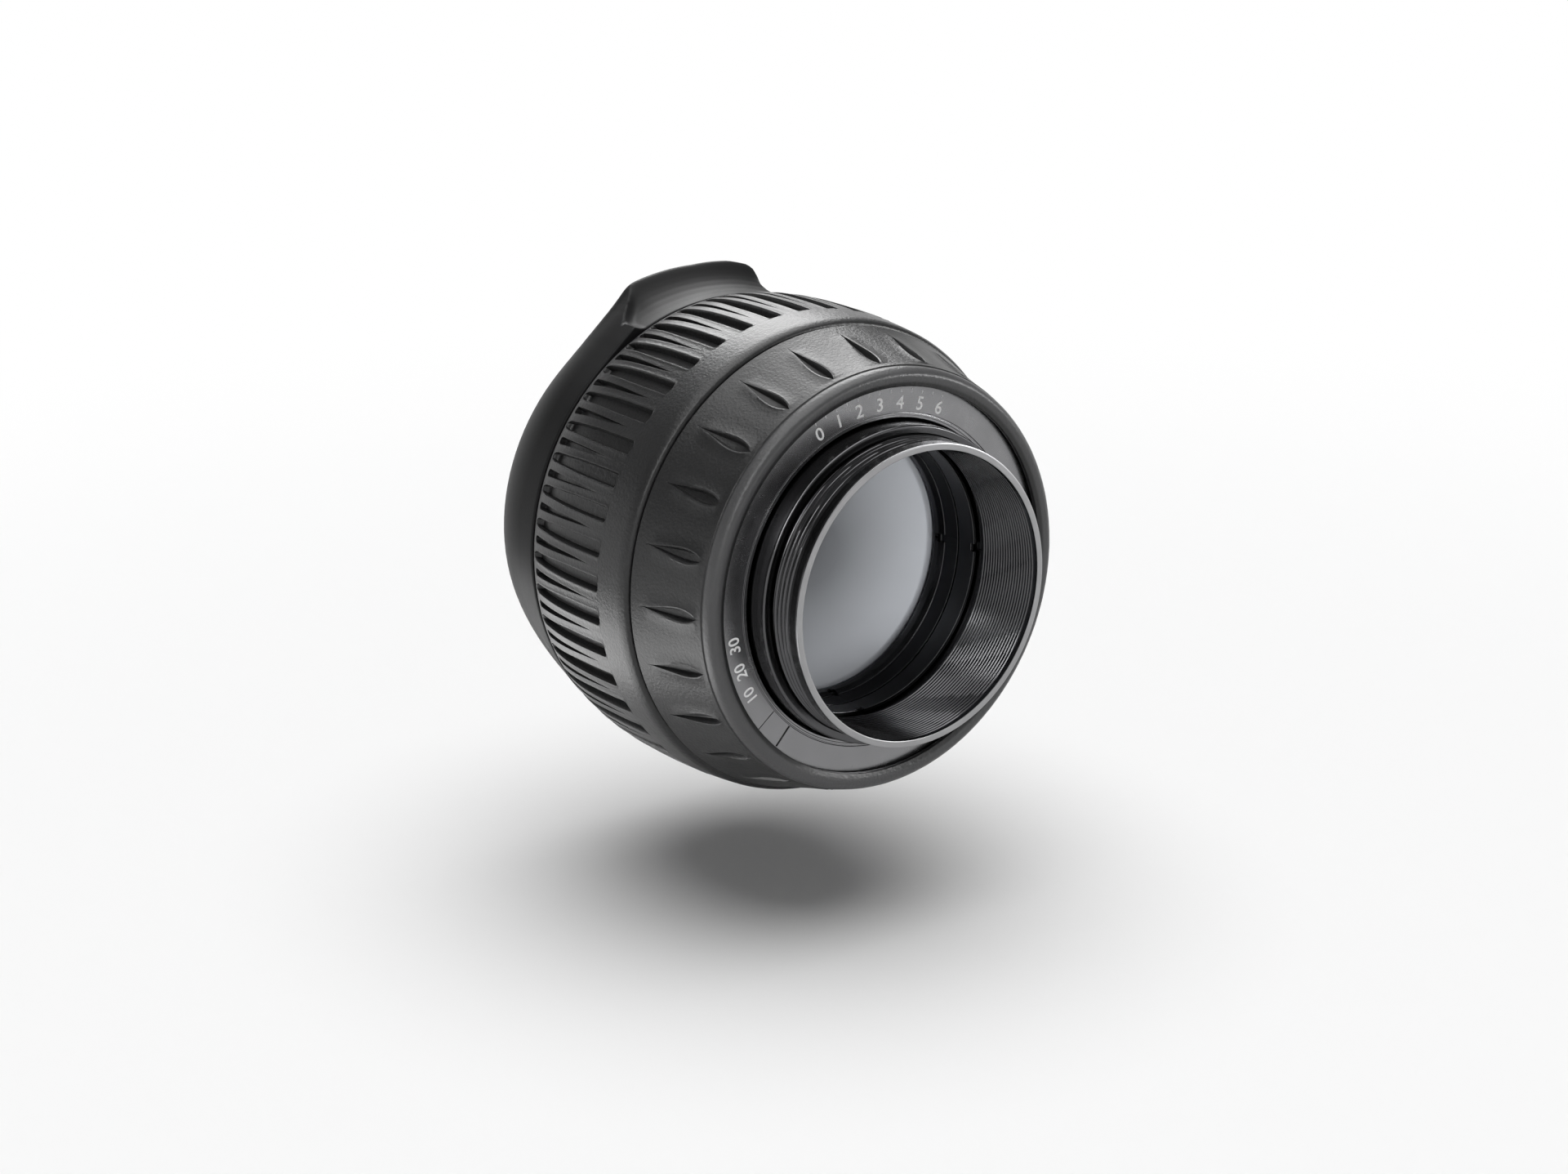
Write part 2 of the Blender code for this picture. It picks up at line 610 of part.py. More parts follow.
def grip_sleeve():
    """Rubber sleeve: a rounded rim that laps over the seat plate, then a cone with leaf-shaped dimples."""
    stations = [SLEEVE_ROOT_Z, (SLEEVE_ROOT_Z + SHOULDER_Z) / 2, SHOULDER_Z - SLEEVE_HEM]
    outline = [
        (LIP_RADIUS, PLATE_Z - GAP),
        (LIP_RADIUS, PLATE_Z - LIP_HEIGHT),
        *rim_arc(),
        *[(sleeve_radius(z), z) for z in stations],
        (SLEEVE_END_RADIUS - SLEEVE_HEM, SHOULDER_Z),
        *[(radius + GAP, z) for radius, z in flare()[::-1]],
        (PLATE_RADIUS + GAP, PLATE_Z - GAP),
    ]
    sleeve = turned("grip_sleeve", outline, finish("rubber", RUBBER), SKIN_SIDES)
    bm = bmesh.new()
    leaf(bm, DIMPLE_WIDTH / 2, DIMPLE_DEPTH, DIMPLE_LENGTH / 2, DIMPLE_LEAN)
    middle = SLEEVE_Z + DIMPLE_START + DIMPLE_LENGTH / 2
    slope = (sleeve_radius(middle + MM) - sleeve_radius(middle - MM)) / (2 * MM)
    tilt = Matrix.Rotation(-atan(slope), 4, "X")
    place = Matrix.Translation((0.0, sleeve_radius(middle) + DIMPLE_LIFT, middle))
    bmesh.ops.transform(bm, matrix=place @ tilt, verts=bm.verts[:])
    repeat_around(bm, DIMPLE_COUNT)
    return cut(sleeve, cutter("dimples", mesh_of(bm, "dimples")))


# Focus ring
def grip_radius(z):
    """Outer radius of the ribbed rubber: a low bulge that falls away towards both ends."""
    peak = RING_Z + 0.6 * RING_LENGTH
    if z < peak:
        return GRIP_RADIUS - GRIP_NEAR_DROP * ((peak - z) / (peak - RING_Z)) ** 2.5
    return GRIP_RADIUS - GRIP_FAR_DROP * ((z - peak) / (GRIP_END_Z - peak)) ** 2.5


def groove(bm, outline, near_floor, far_floor, near_z, far_z):
    """A cutter for one groove: an outline of (across, z) points on a sloping floor, drawn outwards."""
    def floor(z):
        return near_floor + (far_floor - near_floor) * (z - near_z) / (far_z - near_z)
    verts = [bm.verts.new((across, floor(z), z)) for across, z in outline]
    face = bm.faces.new(verts)
    drawn = bmesh.ops.extrude_face_region(bm, geom=[face])["geom"]
    top = [part for part in drawn if isinstance(part, bmesh.types.BMVert)]
    for vert in top:
        vert.co.y = GRIP_RADIUS + OVERCUT


def focus_grip():
    """Ribbed rubber: each group is a wide pocket with a square near end and a narrow slit beside it."""
    end = GRIP_END_Z
    near_round = [pi / 4 * i for i in range(3)]
    outline = [
        (GRIP_BORE, RING_Z),
        *[(grip_radius(RING_Z) - GRIP_ROUND * (1 - sin(turn)), RING_Z + GRIP_ROUND * (1 - cos(turn)))
          for turn in near_round],
        *[(grip_radius(RING_Z + share * RING_LENGTH), RING_Z + share * RING_LENGTH) for share in (0.3, 0.8)],
        (grip_radius(end - GRIP_BEVEL), end - GRIP_BEVEL),
        (grip_radius(end - GRIP_BEVEL) - GRIP_BEVEL, end),
        (GRIP_BORE, end),
    ]
    grip = turned("focus_grip", outline, finish("rubber", RUBBER), GROUP_COUNT)
    near = end - GRIP_HEM - POCKET_LENGTH
    far = end - GRIP_HEM
    half = POCKET_WIDTH / 2
    far_half = POCKET_FAR_WIDTH / 2
    bm = bmesh.new()
    pocket = [(-half, near), (half, near), (far_half, far), (-far_half, far)]
    groove(bm, pocket, grip_radius(near) - POCKET_DEPTH, grip_radius(far) - POCKET_TAIL_DEPTH, near, far)
    repeat_around(bm, GROUP_COUNT)
    cut(grip, cutter("pockets", mesh_of(bm, "pockets")))
    bm = bmesh.new()
    near = far - SLIT_LENGTH
    slit = [(0.0, near), (SLIT_WIDTH / 2, far), (-SLIT_WIDTH / 2, far)]
    groove(bm, slit, grip_radius(near) - SLIT_DEPTH, grip_radius(far) - SLIT_DEPTH, near, far)
    repeat_around(bm, GROUP_COUNT, 180.0 / GROUP_COUNT)
    return cut(grip, cutter("slits", mesh_of(bm, "slits")))


def cam_path(radius, spare):
    """Points along one cam groove on the ring's wall: it rises by the travel over the full turn."""
    half = FOCUS_TURN / 2 + spare
    points = []
    for i in range(CAM_STEPS + 1):
        angle = -half + 2 * half * i / CAM_STEPS
        rise = FOCUS_TRAVEL * angle / FOCUS_TURN
        turn = radians(angle)
        points.append((radius * sin(turn), radius * cos(turn), FOLLOWER_Z + rise))
    return points


def cam_grooves():
    """Cutter for the cam grooves: a round bar bent along each path."""
    curve = bpy.data.curves.new("cam_path", "CURVE")
    curve.dimensions = "3D"
    curve.bevel_depth = FOLLOWER_RADIUS + GAP
    curve.bevel_resolution = 2
    curve.use_fill_caps = True
    path = cam_path(RING_BORE + CAM_GROOVE_SINK, degrees((FOLLOWER_RADIUS + GAP) / RING_BORE))
    spline = curve.splines.new("POLY")
    spline.points.add(len(path) - 1)
    for point, place in zip(spline.points, path):
        point.co = (*place, 1.0)
    wire = bpy.data.objects.new("cam_path", curve)
    CUTTERS.objects.link(wire)
    mesh = bpy.data.meshes.new_from_object(wire.evaluated_get(bpy.context.evaluated_depsgraph_get()))
    bpy.data.objects.remove(wire)
    bm = bmesh.new()
    bm.from_mesh(mesh)
    bmesh.ops.remove_doubles(bm, verts=bm.verts, dist=0.000005)
    repeat_around(bm, FOLLOWER_COUNT)
    return cutter("cam_grooves", mesh_of(bm, "cam_grooves"))


def stop_slot():
    """Cutter for the arc slot in the ring's near face in which the stop pin runs."""
    half = FOCUS_TURN / 2 + degrees((STOP_PIN_RADIUS + GAP) / STOP_PIN_PLACE)
    width = STOP_PIN_RADIUS + GAP
    depth = STOP_PIN_REACH - SEAM + GAP
    bm = bmesh.new()

    def arc(radius):
        turns = [radians(180.0 - half + 2 * half * i / CAM_STEPS) for i in range(CAM_STEPS + 1)]
        return [bm.verts.new((radius * sin(turn), radius * cos(turn), RING_Z - OVERCUT)) for turn in turns]
    inner = arc(STOP_PIN_PLACE - width)
    outer = arc(STOP_PIN_PLACE + width)
    face = bm.faces.new(inner + outer[::-1])
    drawn = bmesh.ops.extrude_face_region(bm, geom=[face])["geom"]
    top = [part for part in drawn if isinstance(part, bmesh.types.BMVert)]
    bmesh.ops.translate(bm, vec=(0.0, 0.0, OVERCUT + depth), verts=top)
    return cutter("stop_slot", mesh_of(bm, "stop_slot"))


def focus_ring():
    """Metal ring that turns on the housing's neck, with cam grooves in its bore and a stop slot in its
    near face."""
    outline = ring_outline(RING_BORE, RING_RADIUS, RING_Z, RING_END_Z)
    ring = turned("focus_ring", outline, finish("anodised", ANODISED))
    cut(ring, cam_grooves())
    return cut(ring, stop_slot())


def friction_washer():
    """Slide washer between the focus ring and the bezel."""
    outline = ring_outline(RING_BORE, RING_RADIUS - WASHER_INSET, WASHER_Z, WASHER_Z + WASHER_THICKNESS)
    return turned("friction_washer", outline, finish("slide_plastic", SLIDE_PLASTIC), INNER_SIDES)


# Front element
def cam_followers():
    """Pins in the cell that pass through the housing's slots into the cam grooves."""
    for i in range(FOLLOWER_COUNT):
        name = f"cam_follower_{i + 1}"
        bm = bmesh.new()
        inner = CELL_RADIUS - FOLLOWER_SOCKET
        radial_rod(bm, FOLLOWER_RADIUS, inner, RING_BORE + FOLLOWER_REACH, FOLLOWER_Z, 12)
        bmesh.ops.transform(bm, matrix=at_angle(360.0 * i / FOLLOWER_COUNT), verts=bm.verts[:])
        piece(name, mesh_of(bm, name), finish("steel", STEEL))


def focus_cell():
    """Sliding tube that carries the front element on a ledge."""
    outline = [
        (CELL_BORE - LEDGE_WIDTH, CELL_Z), (CELL_RADIUS, CELL_Z),
        *groove_outline(CELL_RADIUS, CELL_SEAL_Z), (CELL_RADIUS, CELL_END_Z), (CELL_BORE, CELL_END_Z),
        (CELL_BORE, FRONT_LEDGE_Z), (CELL_BORE - LEDGE_WIDTH, FRONT_LEDGE_Z),
    ]
    cell = turned("focus_cell", outline, finish("anodised", ANODISED), INNER_SIDES)
    bm = bmesh.new()
    floor = CELL_RADIUS - FOLLOWER_SOCKET - GAP
    radial_rod(bm, FOLLOWER_RADIUS + GAP, floor, CELL_RADIUS + OVERCUT, FOLLOWER_Z, 12)
    repeat_around(bm, FOLLOWER_COUNT)
    return cut(cell, cutter("follower_holes", mesh_of(bm, "follower_holes")))


def front_lens():
    """Front element: a strong meniscus that bulges out of the cell."""
    outline = lens_outline(FRONT_LENS_RADIUS, FRONT_LENS_Z, FRONT_LENS_EDGE, FRONT_INNER_CURVE,
                           FRONT_FACE_CURVE)
    return turned("front_lens", outline, finish("coated_glass", COATED_GLASS), INNER_SIDES)


def front_lens_seal():
    """Seal between the front element and its ledge."""
    return o_ring("front_lens_seal", FRONT_LENS_RADIUS - SEAL_SECTION, FRONT_SEAL_Z + SEAL_SECTION)


def front_retaining_ring():
    """Ring that holds the front element in its cell."""
    outline = ring_outline(FRONT_LENS_RADIUS - LENS_FLAT, FRONT_LENS_RADIUS, FRONT_RING_Z,
                           FRONT_RING_Z + FRONT_RING_LENGTH)
    return turned("front_retaining_ring", outline, finish("anodised", ANODISED), INNER_SIDES)


def front_bezel():
    """Ring on the end of the neck that keeps the focus ring on, and which the cap grips."""
    outline = [
        (BEZEL_BORE, BEZEL_Z), (BEZEL_RADIUS, BEZEL_Z), (BEZEL_RADIUS, BEZEL_END_Z - BEZEL_BEVEL),
        (BEZEL_RADIUS - BEZEL_BEVEL, BEZEL_END_Z), (BARREL_BORE, BEZEL_END_Z),
        (BARREL_BORE, BARREL_END_Z + GAP), (BEZEL_BORE, BARREL_END_Z + GAP),
    ]
    return turned("front_bezel", outline, finish("anodised", ANODISED))


# Cap
def cap_radius(z):
    """Outer radius of the plain cap: a straight wall, then the round shoulder."""
    rise = max(0.0, z - CAP_SHOULDER_Z)
    return CAP_RADIUS - CAP_ROUND + sqrt(CAP_ROUND * CAP_ROUND - rise * rise)


def cap_section(angle):
    """The cap's closed section at an angle: the same number of (radius, z) points at each angle, so
    that the wall swells into the tab, whose near face is scooped."""
    off = abs(angle)
    lift = TAB_HEIGHT * (1.0 - smoothstep((off - TAB_HALF_ANGLE) / TAB_FLANK_ANGLE))
    reach = CAP_LENGTH - CAP_DOME
    column = 1 if off < SCOOP_HALF_ANGLE else 2
    rows = [(CAP_Z + row[0] * reach, row[column]) for row in TAB_SIDE]
    skin = [(cap_radius(z) + height * lift, z) for z, height in rows]
    lip = (skin[0][0] - CAP_LIP_BEVEL, CAP_Z)
    turns = [radians(CAP_ARC_END * share) for share in (1.0, 0.65, 0.3, 0.0)]
    centre = CAP_RADIUS - CAP_ROUND
    inner = CAP_ROUND - CAP_WALL
    inside = [(centre + inner * cos(turn), CAP_SHOULDER_Z + inner * sin(turn)) for turn in turns]
    return [lip, *skin, *inside, (CAP_BORE, CAP_Z + CAP_LIP_BEVEL), (CAP_BORE + CAP_LIP_BEVEL, CAP_Z)]


def cap_angles(tab_steps=5, flank_steps=5, back_steps=11):
    """Angles of the cap's sections: close together over the tab and its flanks, wide apart elsewhere.
    Two lie close on either side of the scoop's edge."""
    flank = TAB_HALF_ANGLE + TAB_FLANK_ANGLE
    near, far = SCOOP_HALF_ANGLE - 0.4, SCOOP_HALF_ANGLE + 0.4
    half = [near * i / tab_steps for i in range(tab_steps + 1)]
    half += [far + (flank - far) * i / flank_steps for i in range(flank_steps + 1)]
    half += [flank + (180.0 - flank) * i / back_steps for i in range(1, back_steps)]
    return half + [180.0] + [-angle for angle in half[:0:-1]]


def protective_cap():
    """Rubber cap: sections round the axis joined into one skin, closed by its back outside and inside."""
    angles = cap_angles()
    sections = [cap_section(angle) for angle in angles]
    count = len(sections[0])
    back = len(TAB_SIDE)
    bm = bmesh.new()
    rings = []
    for angle, section in zip(angles, sections):
        turn = radians(angle)
        rings.append([bm.verts.new((r * sin(turn), r * cos(turn), z)) for r, z in section])
    for i, ring in enumerate(rings):
        following = rings[(i + 1) % len(rings)]
        for k in range(count):
            if k != back:
                after = (k + 1) % count
                bm.faces.new((ring[k], ring[after], following[after], following[k]))
    for k, z in ((back, CAP_END_Z), (back + 1, CAP_END_Z - CAP_WALL)):
        centre = bm.verts.new((0.0, 0.0, z))
        for i, ring in enumerate(rings):
            bm.faces.new((ring[k], rings[(i + 1) % len(rings)][k], centre))
    return piece("protective_cap", mesh_of(bm, "protective_cap"), finish("cap_rubber", CAP_RUBBER))


# Seals that close the housing
def housing_seals():
    """Round seals behind the seat plate, under the focus ring and round the sliding cell."""
    o_ring("tube_seal", BARREL_TUBE_BORE + SEAL_SECTION, TUBE_SEAL_Z)
    o_ring("ring_seal", BARREL_RADIUS - SEAL_SECTION, RING_SEAL_Z)
    o_ring("cell_seal", CELL_RADIUS - SEAL_SECTION, CELL_SEAL_Z)


def shade_round(angle=30.0):
    """Bakes each part's cuts into its mesh and shades it smooth up to an edge of that angle."""
    graph = bpy.context.evaluated_depsgraph_get()
    for item in [item for item in PARTS.objects if item.type == "MESH"]:
        mesh = bpy.data.meshes.new_from_object(item.evaluated_get(graph))
        item.modifiers.clear()
        item.data = mesh
        mesh.name = item.name
        mesh.shade_smooth()
        mesh.set_sharp_from_angle(angle=radians(angle))


def build():
    """Makes every part."""
    for make in (mount_tube, seat_plate, baffle_ring, rear_retaining_ring, rear_lens, rear_lens_seal,
                 rear_cell, main_barrel, lock_screws, stop_pin, grip_sleeve, focus_grip, focus_ring,
                 friction_washer, cam_followers, focus_cell, front_lens, front_lens_seal,
                 front_retaining_ring, front_bezel, housing_seals, protective_cap):
        make()
    shade_round()


build()
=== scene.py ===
"""Looks for a thermal imaging lens: fine turned metal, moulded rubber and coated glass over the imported
solids, on a pale floor under soft studio light."""

import json
from math import cos, pi, radians, sin

import bpy
import numpy as np
from mathutils import Matrix, Vector


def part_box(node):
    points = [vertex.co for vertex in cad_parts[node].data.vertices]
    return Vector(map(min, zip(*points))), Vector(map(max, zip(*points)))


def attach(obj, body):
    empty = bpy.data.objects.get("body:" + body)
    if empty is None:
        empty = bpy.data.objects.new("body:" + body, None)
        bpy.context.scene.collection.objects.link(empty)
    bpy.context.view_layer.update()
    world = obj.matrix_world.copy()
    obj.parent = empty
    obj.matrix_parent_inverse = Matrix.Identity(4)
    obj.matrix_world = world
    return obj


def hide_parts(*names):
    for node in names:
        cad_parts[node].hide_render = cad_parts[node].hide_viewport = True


bl_info = {
    "name": "Thermal imaging lens",
    "version": (1, 0, 0),
    "blender": (4, 5, 0),
    "location": "View3D > Sidebar > Lens",
    "description": "Makes the lens's fine surfaces, finishes and stage",
    "category": "Object",
}

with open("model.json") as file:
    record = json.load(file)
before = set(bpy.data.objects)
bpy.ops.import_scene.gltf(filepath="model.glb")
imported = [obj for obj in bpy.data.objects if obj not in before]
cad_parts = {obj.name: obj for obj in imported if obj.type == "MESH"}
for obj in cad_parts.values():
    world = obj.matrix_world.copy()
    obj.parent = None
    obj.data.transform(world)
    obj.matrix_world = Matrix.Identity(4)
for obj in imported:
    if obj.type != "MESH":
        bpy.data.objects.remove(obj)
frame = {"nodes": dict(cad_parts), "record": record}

MM = 0.001
TURN = 2 * pi

# Radii in millimetres, and places along the axis from the seat
THREAD_RADIUS = 19.5
TUBE_BORE = 18.6
PLAIN_BAND = 1.45
THREAD_RELIEF = 0.55
BORE_LEAD = 0.55
GROOVED_BORE = 5.5
INNER_BORE = 18.5
RELIEF_RADIUS = 18.95
COLLAR_RADIUS = 20.65
COUNTERBORE = 19.25
PLATE_BORE = 20.95
LIP_RADIUS = 25.1
RIM_ROOT = 27.5
CONE_ROOT = 27.65
SLEEVE_WALL = 1.75
LEAF_START = 2.4
LEAF_LENGTH = 8.7
DIMPLE_LIP = 0.12
NOTCHES = 4
NOTCH_WIDTH = 1.0
NOTCH_DEPTH = 0.6
SLOT_DEPTH = 0.7
REAR_RING_STEP = 2.3
REAR_LENS_RADIUS = 18.9
REAR_CLEAR_RADIUS = 17.8
REAR_EDGE = 3.0
REAR_CURVES = (50.0, 45.0)
FRONT_LENS_RADIUS = 22.0
FRONT_CLEAR_RADIUS = 20.9
FRONT_EDGE = 2.6
FRONT_CURVES = (62.0, 45.0)
BARREL_BORE = 24.2
BEZEL_BORE = 26.1
GRIP_BORE = 29.4
GRIP_RADIUS = 32.1
GRIP_FALLS = (0.8, 1.0)
GRIP_ROUND = 0.75
POCKET_SPAN = (5.3, 0.75)
SLIT_SPAN = (7.8, 1.05)
GRIP_LIP = 0.05
CAP_BORE = 28.9
CAP_WALL = 2.1
CAP_RADIUS = CAP_BORE + CAP_WALL
CAP_ROUND = 14.5
CAP_ARC_END = 64.0
CAP_DOME = 0.6
SCOOP_HALF = 27.0
SCOOP_NARROWS = 9.4
SCOOP_WALL = 3.2
FLAT_DEPTH = 1.1
FLAT_ANGLE = 125.0
FLAT_SPREAD = 24.0

# Marks on the plate: radii, half widths and heights in millimetres, angles in degrees from the top
# towards -X. A number has its text, angle, radius and height.
INDEX_INNER = 21.9
INDEX_OUTER = 24.9
INDEX_LINES = ((129.0, 0.05), (138.0, 0.13))
TICK_INNER = 24.2
TICK_OUTER = 24.7
TICKS = [(angle, 0.06) for angle in range(-22, 27, 4)]
NUMBERS = [(str(i), 26 - 8 * i, 22.85, 2.4) for i in range(7)]
NUMBERS += [("10", 118, 23.2, 2.2), ("20", 109, 23.2, 2.2), ("30", 100, 23.2, 2.2)]


def along(node):
    """Where a node starts and ends along the axis, in millimetres."""
    low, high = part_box(node)
    return low.y / MM, high.y / MM


def reach(node):
    """A node's greatest radius, in millimetres."""
    low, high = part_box(node)
    return max(-low.x, high.x) / MM


RIM_Z, TUBE_END_Z = along("mount_tube")
PLATE_Z, PLATE_END_Z = along("seat_plate")
SLEEVE_Z, SHOULDER_Z = along("grip_sleeve")
RING_Z, GRIP_END_Z = along("focus_grip")
BAFFLE_Z, BAFFLE_END_Z = along("baffle_ring")
REAR_RING_Z, REAR_RING_END_Z = along("rear_retaining_ring")
REAR_LENS_Z = along("rear_lens")[0]
BEZEL_Z, BEZEL_END_Z = along("front_bezel")
FRONT_RING_Z, FRONT_RING_END_Z = along("front_retaining_ring")
FRONT_LENS_Z = along("front_lens")[0]
CAP_Z, CAP_END_Z = along("protective_cap")
ROOT_Z = SLEEVE_Z + 1.7
CAP_REACH = CAP_END_Z - CAP_DOME - CAP_Z
CAP_SHOULDER_Z = CAP_END_Z - CAP_DOME - CAP_ROUND * sin(radians(CAP_ARC_END))
PLATE_RADIUS = reach("seat_plate")
SLEEVE_END_RADIUS = reach("grip_sleeve")
BEZEL_RADIUS = reach("front_bezel")


# Settings
def amount(name, description, value, **more):
    """A number from 0 up, in millimetres where it is a size."""
    return bpy.props.FloatProperty(name=name, description=description, default=value, min=0.0, **more)


def count(name, description, value):
    """A number of copies."""
    return bpy.props.IntProperty(name=name, description=description, default=value, min=1)


def colour(name, description, value):
    """A linear colour."""
    return bpy.props.FloatVectorProperty(
        name=name, description=description, default=value, size=3, min=0.0, max=1.0, subtype="COLOR")


class LensSizes(bpy.types.PropertyGroup):
    """Sizes of the fine shapes, in millimetres."""
    thread_pitch: amount("Thread pitch", "Distance between the mount thread's ridges", 0.8)
    thread_depth: amount("Thread depth", "Height of the mount thread's ridges", 0.42)
    groove_pitch: amount("Groove pitch", "Distance between the glare grooves in the bore", 0.5)
    groove_depth: amount("Groove depth", "Depth of the glare grooves in the bore", 0.13)
    dimple_count: count("Dimples", "Dimples round the rubber sleeve", 24)
    dimple_width: amount("Dimple width", "Widest part of a dimple", 1.6)
    dimple_depth: amount("Dimple depth", "Deepest part of a dimple", 0.75)
    rib_count: count("Ribs", "Pockets round the focus grip", 45)
    pocket_width: amount("Pocket width", "Width of a pocket at its square end", 2.0)
    pocket_depth: amount("Pocket depth", "Depth of a pocket at its square end", 1.15)
    slit_width: amount("Slit width", "Width of a slit at its far end", 1.05)
    slit_depth: amount("Slit depth", "Depth of a slit", 0.9)
    tab_height: amount("Tab height", "How far the cap's pull tab stands out", 3.7)


class LensColours(bpy.types.PropertyGroup):
    """Colours of the finishes."""
    anodised: colour("Anodised metal", "Glossy black anodised metal", (0.085, 0.085, 0.088))
    satin: colour("Satin metal", "Turned black plate", (0.22, 0.22, 0.225))
    bare: colour("Bare metal", "Turned rim of the tube", (0.30, 0.30, 0.305))
    steel: colour("Steel", "Pins and screws", (0.42, 0.42, 0.43))
    glass: colour("Coated glass", "Mirror-like infrared coating", (0.79, 0.82, 0.87))
    rubber: colour("Rubber", "Moulded grips", (0.015, 0.015, 0.0154))
    cap: colour("Cap rubber", "Moulded cap", (0.010, 0.010, 0.0103))
    marks: colour("Marks", "Printed numbers and ticks", (0.90, 0.90, 0.90))
    cuts: colour("Cut lines", "Index lines cut into the plate", (0.01, 0.01, 0.01))


class LensStage(bpy.types.PropertyGroup):
    """Stage, lamps and camera."""
    drop: amount("Floor drop", "Distance from the axis down to the floor, in millimetres", 46.0)
    floor: amount("Floor", "How pale the floor and backdrop are", 0.90, max=1.0, subtype="FACTOR")
    sky: amount("Sky", "Strength of the world's light", 0.19, max=1.0, subtype="FACTOR")
    top: amount("Top light", "Strength of the light overhead", 2.65)
    back: amount("Back light", "Strength of the light over the cap", 2.0)
    key: amount("Key lamp", "Power of the tall lamp beside the camera", 1.5, unit="POWER")
    side: amount("Side lamp", "Power of the lamp at the right", 1.5, unit="POWER")
    fill: amount("Fill lamp", "Power of the small lamp low at the left", 0.042, unit="POWER")
    focal: amount("Focal length", "Camera's focal length", 61.0, unit="CAMERA")


def sizes():
    """The size settings."""
    return bpy.context.scene.lens_sizes


def colours():
    """The colour settings."""
    return bpy.context.scene.lens_colours


# Surfaces
def place(radius, angle, z):
    """Points in metres at a radius, an angle from the top towards -X and a place along the axis, all in
    millimetres: x = -radius * sin(angle), y = z, z = radius * cos(angle)."""
    radius, angle, z = np.broadcast_arrays(radius, angle, z)
    return np.stack([-radius * np.sin(angle), z, radius * np.cos(angle)], axis=-1) * MM


def smooth(value):
    """0 below 0, 1 above 1, and 3 v^2 - 2 v^3 between."""
    value = np.clip(value, 0.0, 1.0)
    return value * value * (3.0 - 2.0 * value)


def angles(columns):
    """Evenly spaced angles round the axis."""
    return np.arange(columns) * TURN / columns


def outline(corners, steps=5):
    """A closed outline from rows of radius, place and rounding. Each corner becomes the quadratic curve
    (1-t)^2 a + 2t(1-t) b + t^2 c from a point before it to a point after it, with one more point on each
    side that keeps the flats flat."""
    table = np.array(corners, float)
    points, cut = table[:, :2], table[:, 2:3]
    back = np.roll(points, 1, axis=0) - points
    ahead = np.roll(points, -1, axis=0) - points
    back_length = np.linalg.norm(back, axis=1, keepdims=True)
    ahead_length = np.linalg.norm(ahead, axis=1, keepdims=True)
    cut = np.minimum(cut, 0.3 * np.minimum(back_length, ahead_length))
    back, ahead = back / back_length, ahead / ahead_length
    t = np.linspace(0.0, 1.0, steps)[None, :, None]
    start, end = points + back * cut, points + ahead * cut
    arc = (1 - t) ** 2 * start[:, None] + 2 * t * (1 - t) * points[:, None] + t ** 2 * end[:, None]
    lead = (points + 1.5 * back * cut)[:, None]
    trail = (points + 1.5 * ahead * cut)[:, None]
    return np.concatenate([lead, arc, trail], axis=1).reshape(-1, 2)


def run(*stops):
    """Rows of radius and place through stops of radius, place and the number of steps that lead there."""
    table = np.array(stops, float)
    parts = [np.linspace(table[i, :2], table[i + 1, :2], int(table[i + 1, 2]), endpoint=False)
             for i in range(len(table) - 1)]
    return np.concatenate([*parts, table[-1:, :2]])


NO_FACES = np.zeros((0, 3), int)


def fill_mesh(points, quads, triangles=NO_FACES):
    """A mesh of quads and triangles whose faces point outwards: where the sum of the tetrahedra that the
    faces make with the origin is negative, every face is turned over."""
    halves = np.concatenate([quads[:, [0, 1, 2]], quads[:, [0, 2, 3]], triangles])
    a, b, c = (points[halves[:, i]] for i in range(3))
    if np.einsum("ij,ij->i", a, np.cross(b, c)).sum() < 0:
        quads, triangles = quads[:, ::-1], triangles[:, ::-1]
    corners = np.concatenate([quads.ravel(), triangles.ravel()])
    mesh = bpy.data.meshes.new("surface")
    mesh.vertices.add(len(points))
    mesh.vertices.foreach_set("co", points.astype(np.float32).ravel())
    mesh.loops.add(len(corners))
    mesh.loops.foreach_set("vertex_index", corners.astype(np.int32))
    mesh.polygons.add(len(quads) + len(triangles))
    starts = np.concatenate([np.arange(len(quads)) * 4, quads.size + np.arange(len(triangles)) * 3])
    mesh.polygons.foreach_set("loop_start", starts.astype(np.int32))
    mesh.update(calc_edges=True)
    return mesh


def grid_quads(rows, columns, closed):
    """Quads between the points of a grid whose columns close round the axis, and whose rows close into a
    ring where closed is true."""
    i, j = np.meshgrid(np.arange(rows if closed else rows - 1), np.arange(columns), indexing="ij")
    row, below, beside = i * columns, (i + 1) % rows * columns, (j + 1) % columns
    return np.stack([row + j, below + j, below + beside, row + beside], axis=-1).reshape(-1, 4)


def skin(grid, poles=False, sharp=35.0):
    """A closed surface from a grid of points, rows by columns. The columns close round the axis. The rows
    close into a ring, or with poles the first and last row each shrink to one point on the axis."""
    rows, columns = grid.shape[:2]
    points = grid.reshape(-1, 3)
    triangles = NO_FACES
    if poles:
        ring = np.arange(columns)
        after = (ring + 1) % columns
        first, last = len(points), len(points) + 1
        points = np.concatenate([points, grid[:1, 0] * [0, 1, 0], grid[-1:, 0] * [0, 1, 0]])
        end = (rows - 1) * columns
        triangles = np.concatenate([
            np.stack([np.full(columns, first), ring, after], axis=-1),
            np.stack([end + after, end + ring, np.full(columns, last)], axis=-1),
        ])
    mesh = fill_mesh(points, grid_quads(rows, columns, not poles), triangles)
    mesh.shade_smooth()
    mesh.set_sharp_from_angle(angle=radians(sharp))
    return mesh


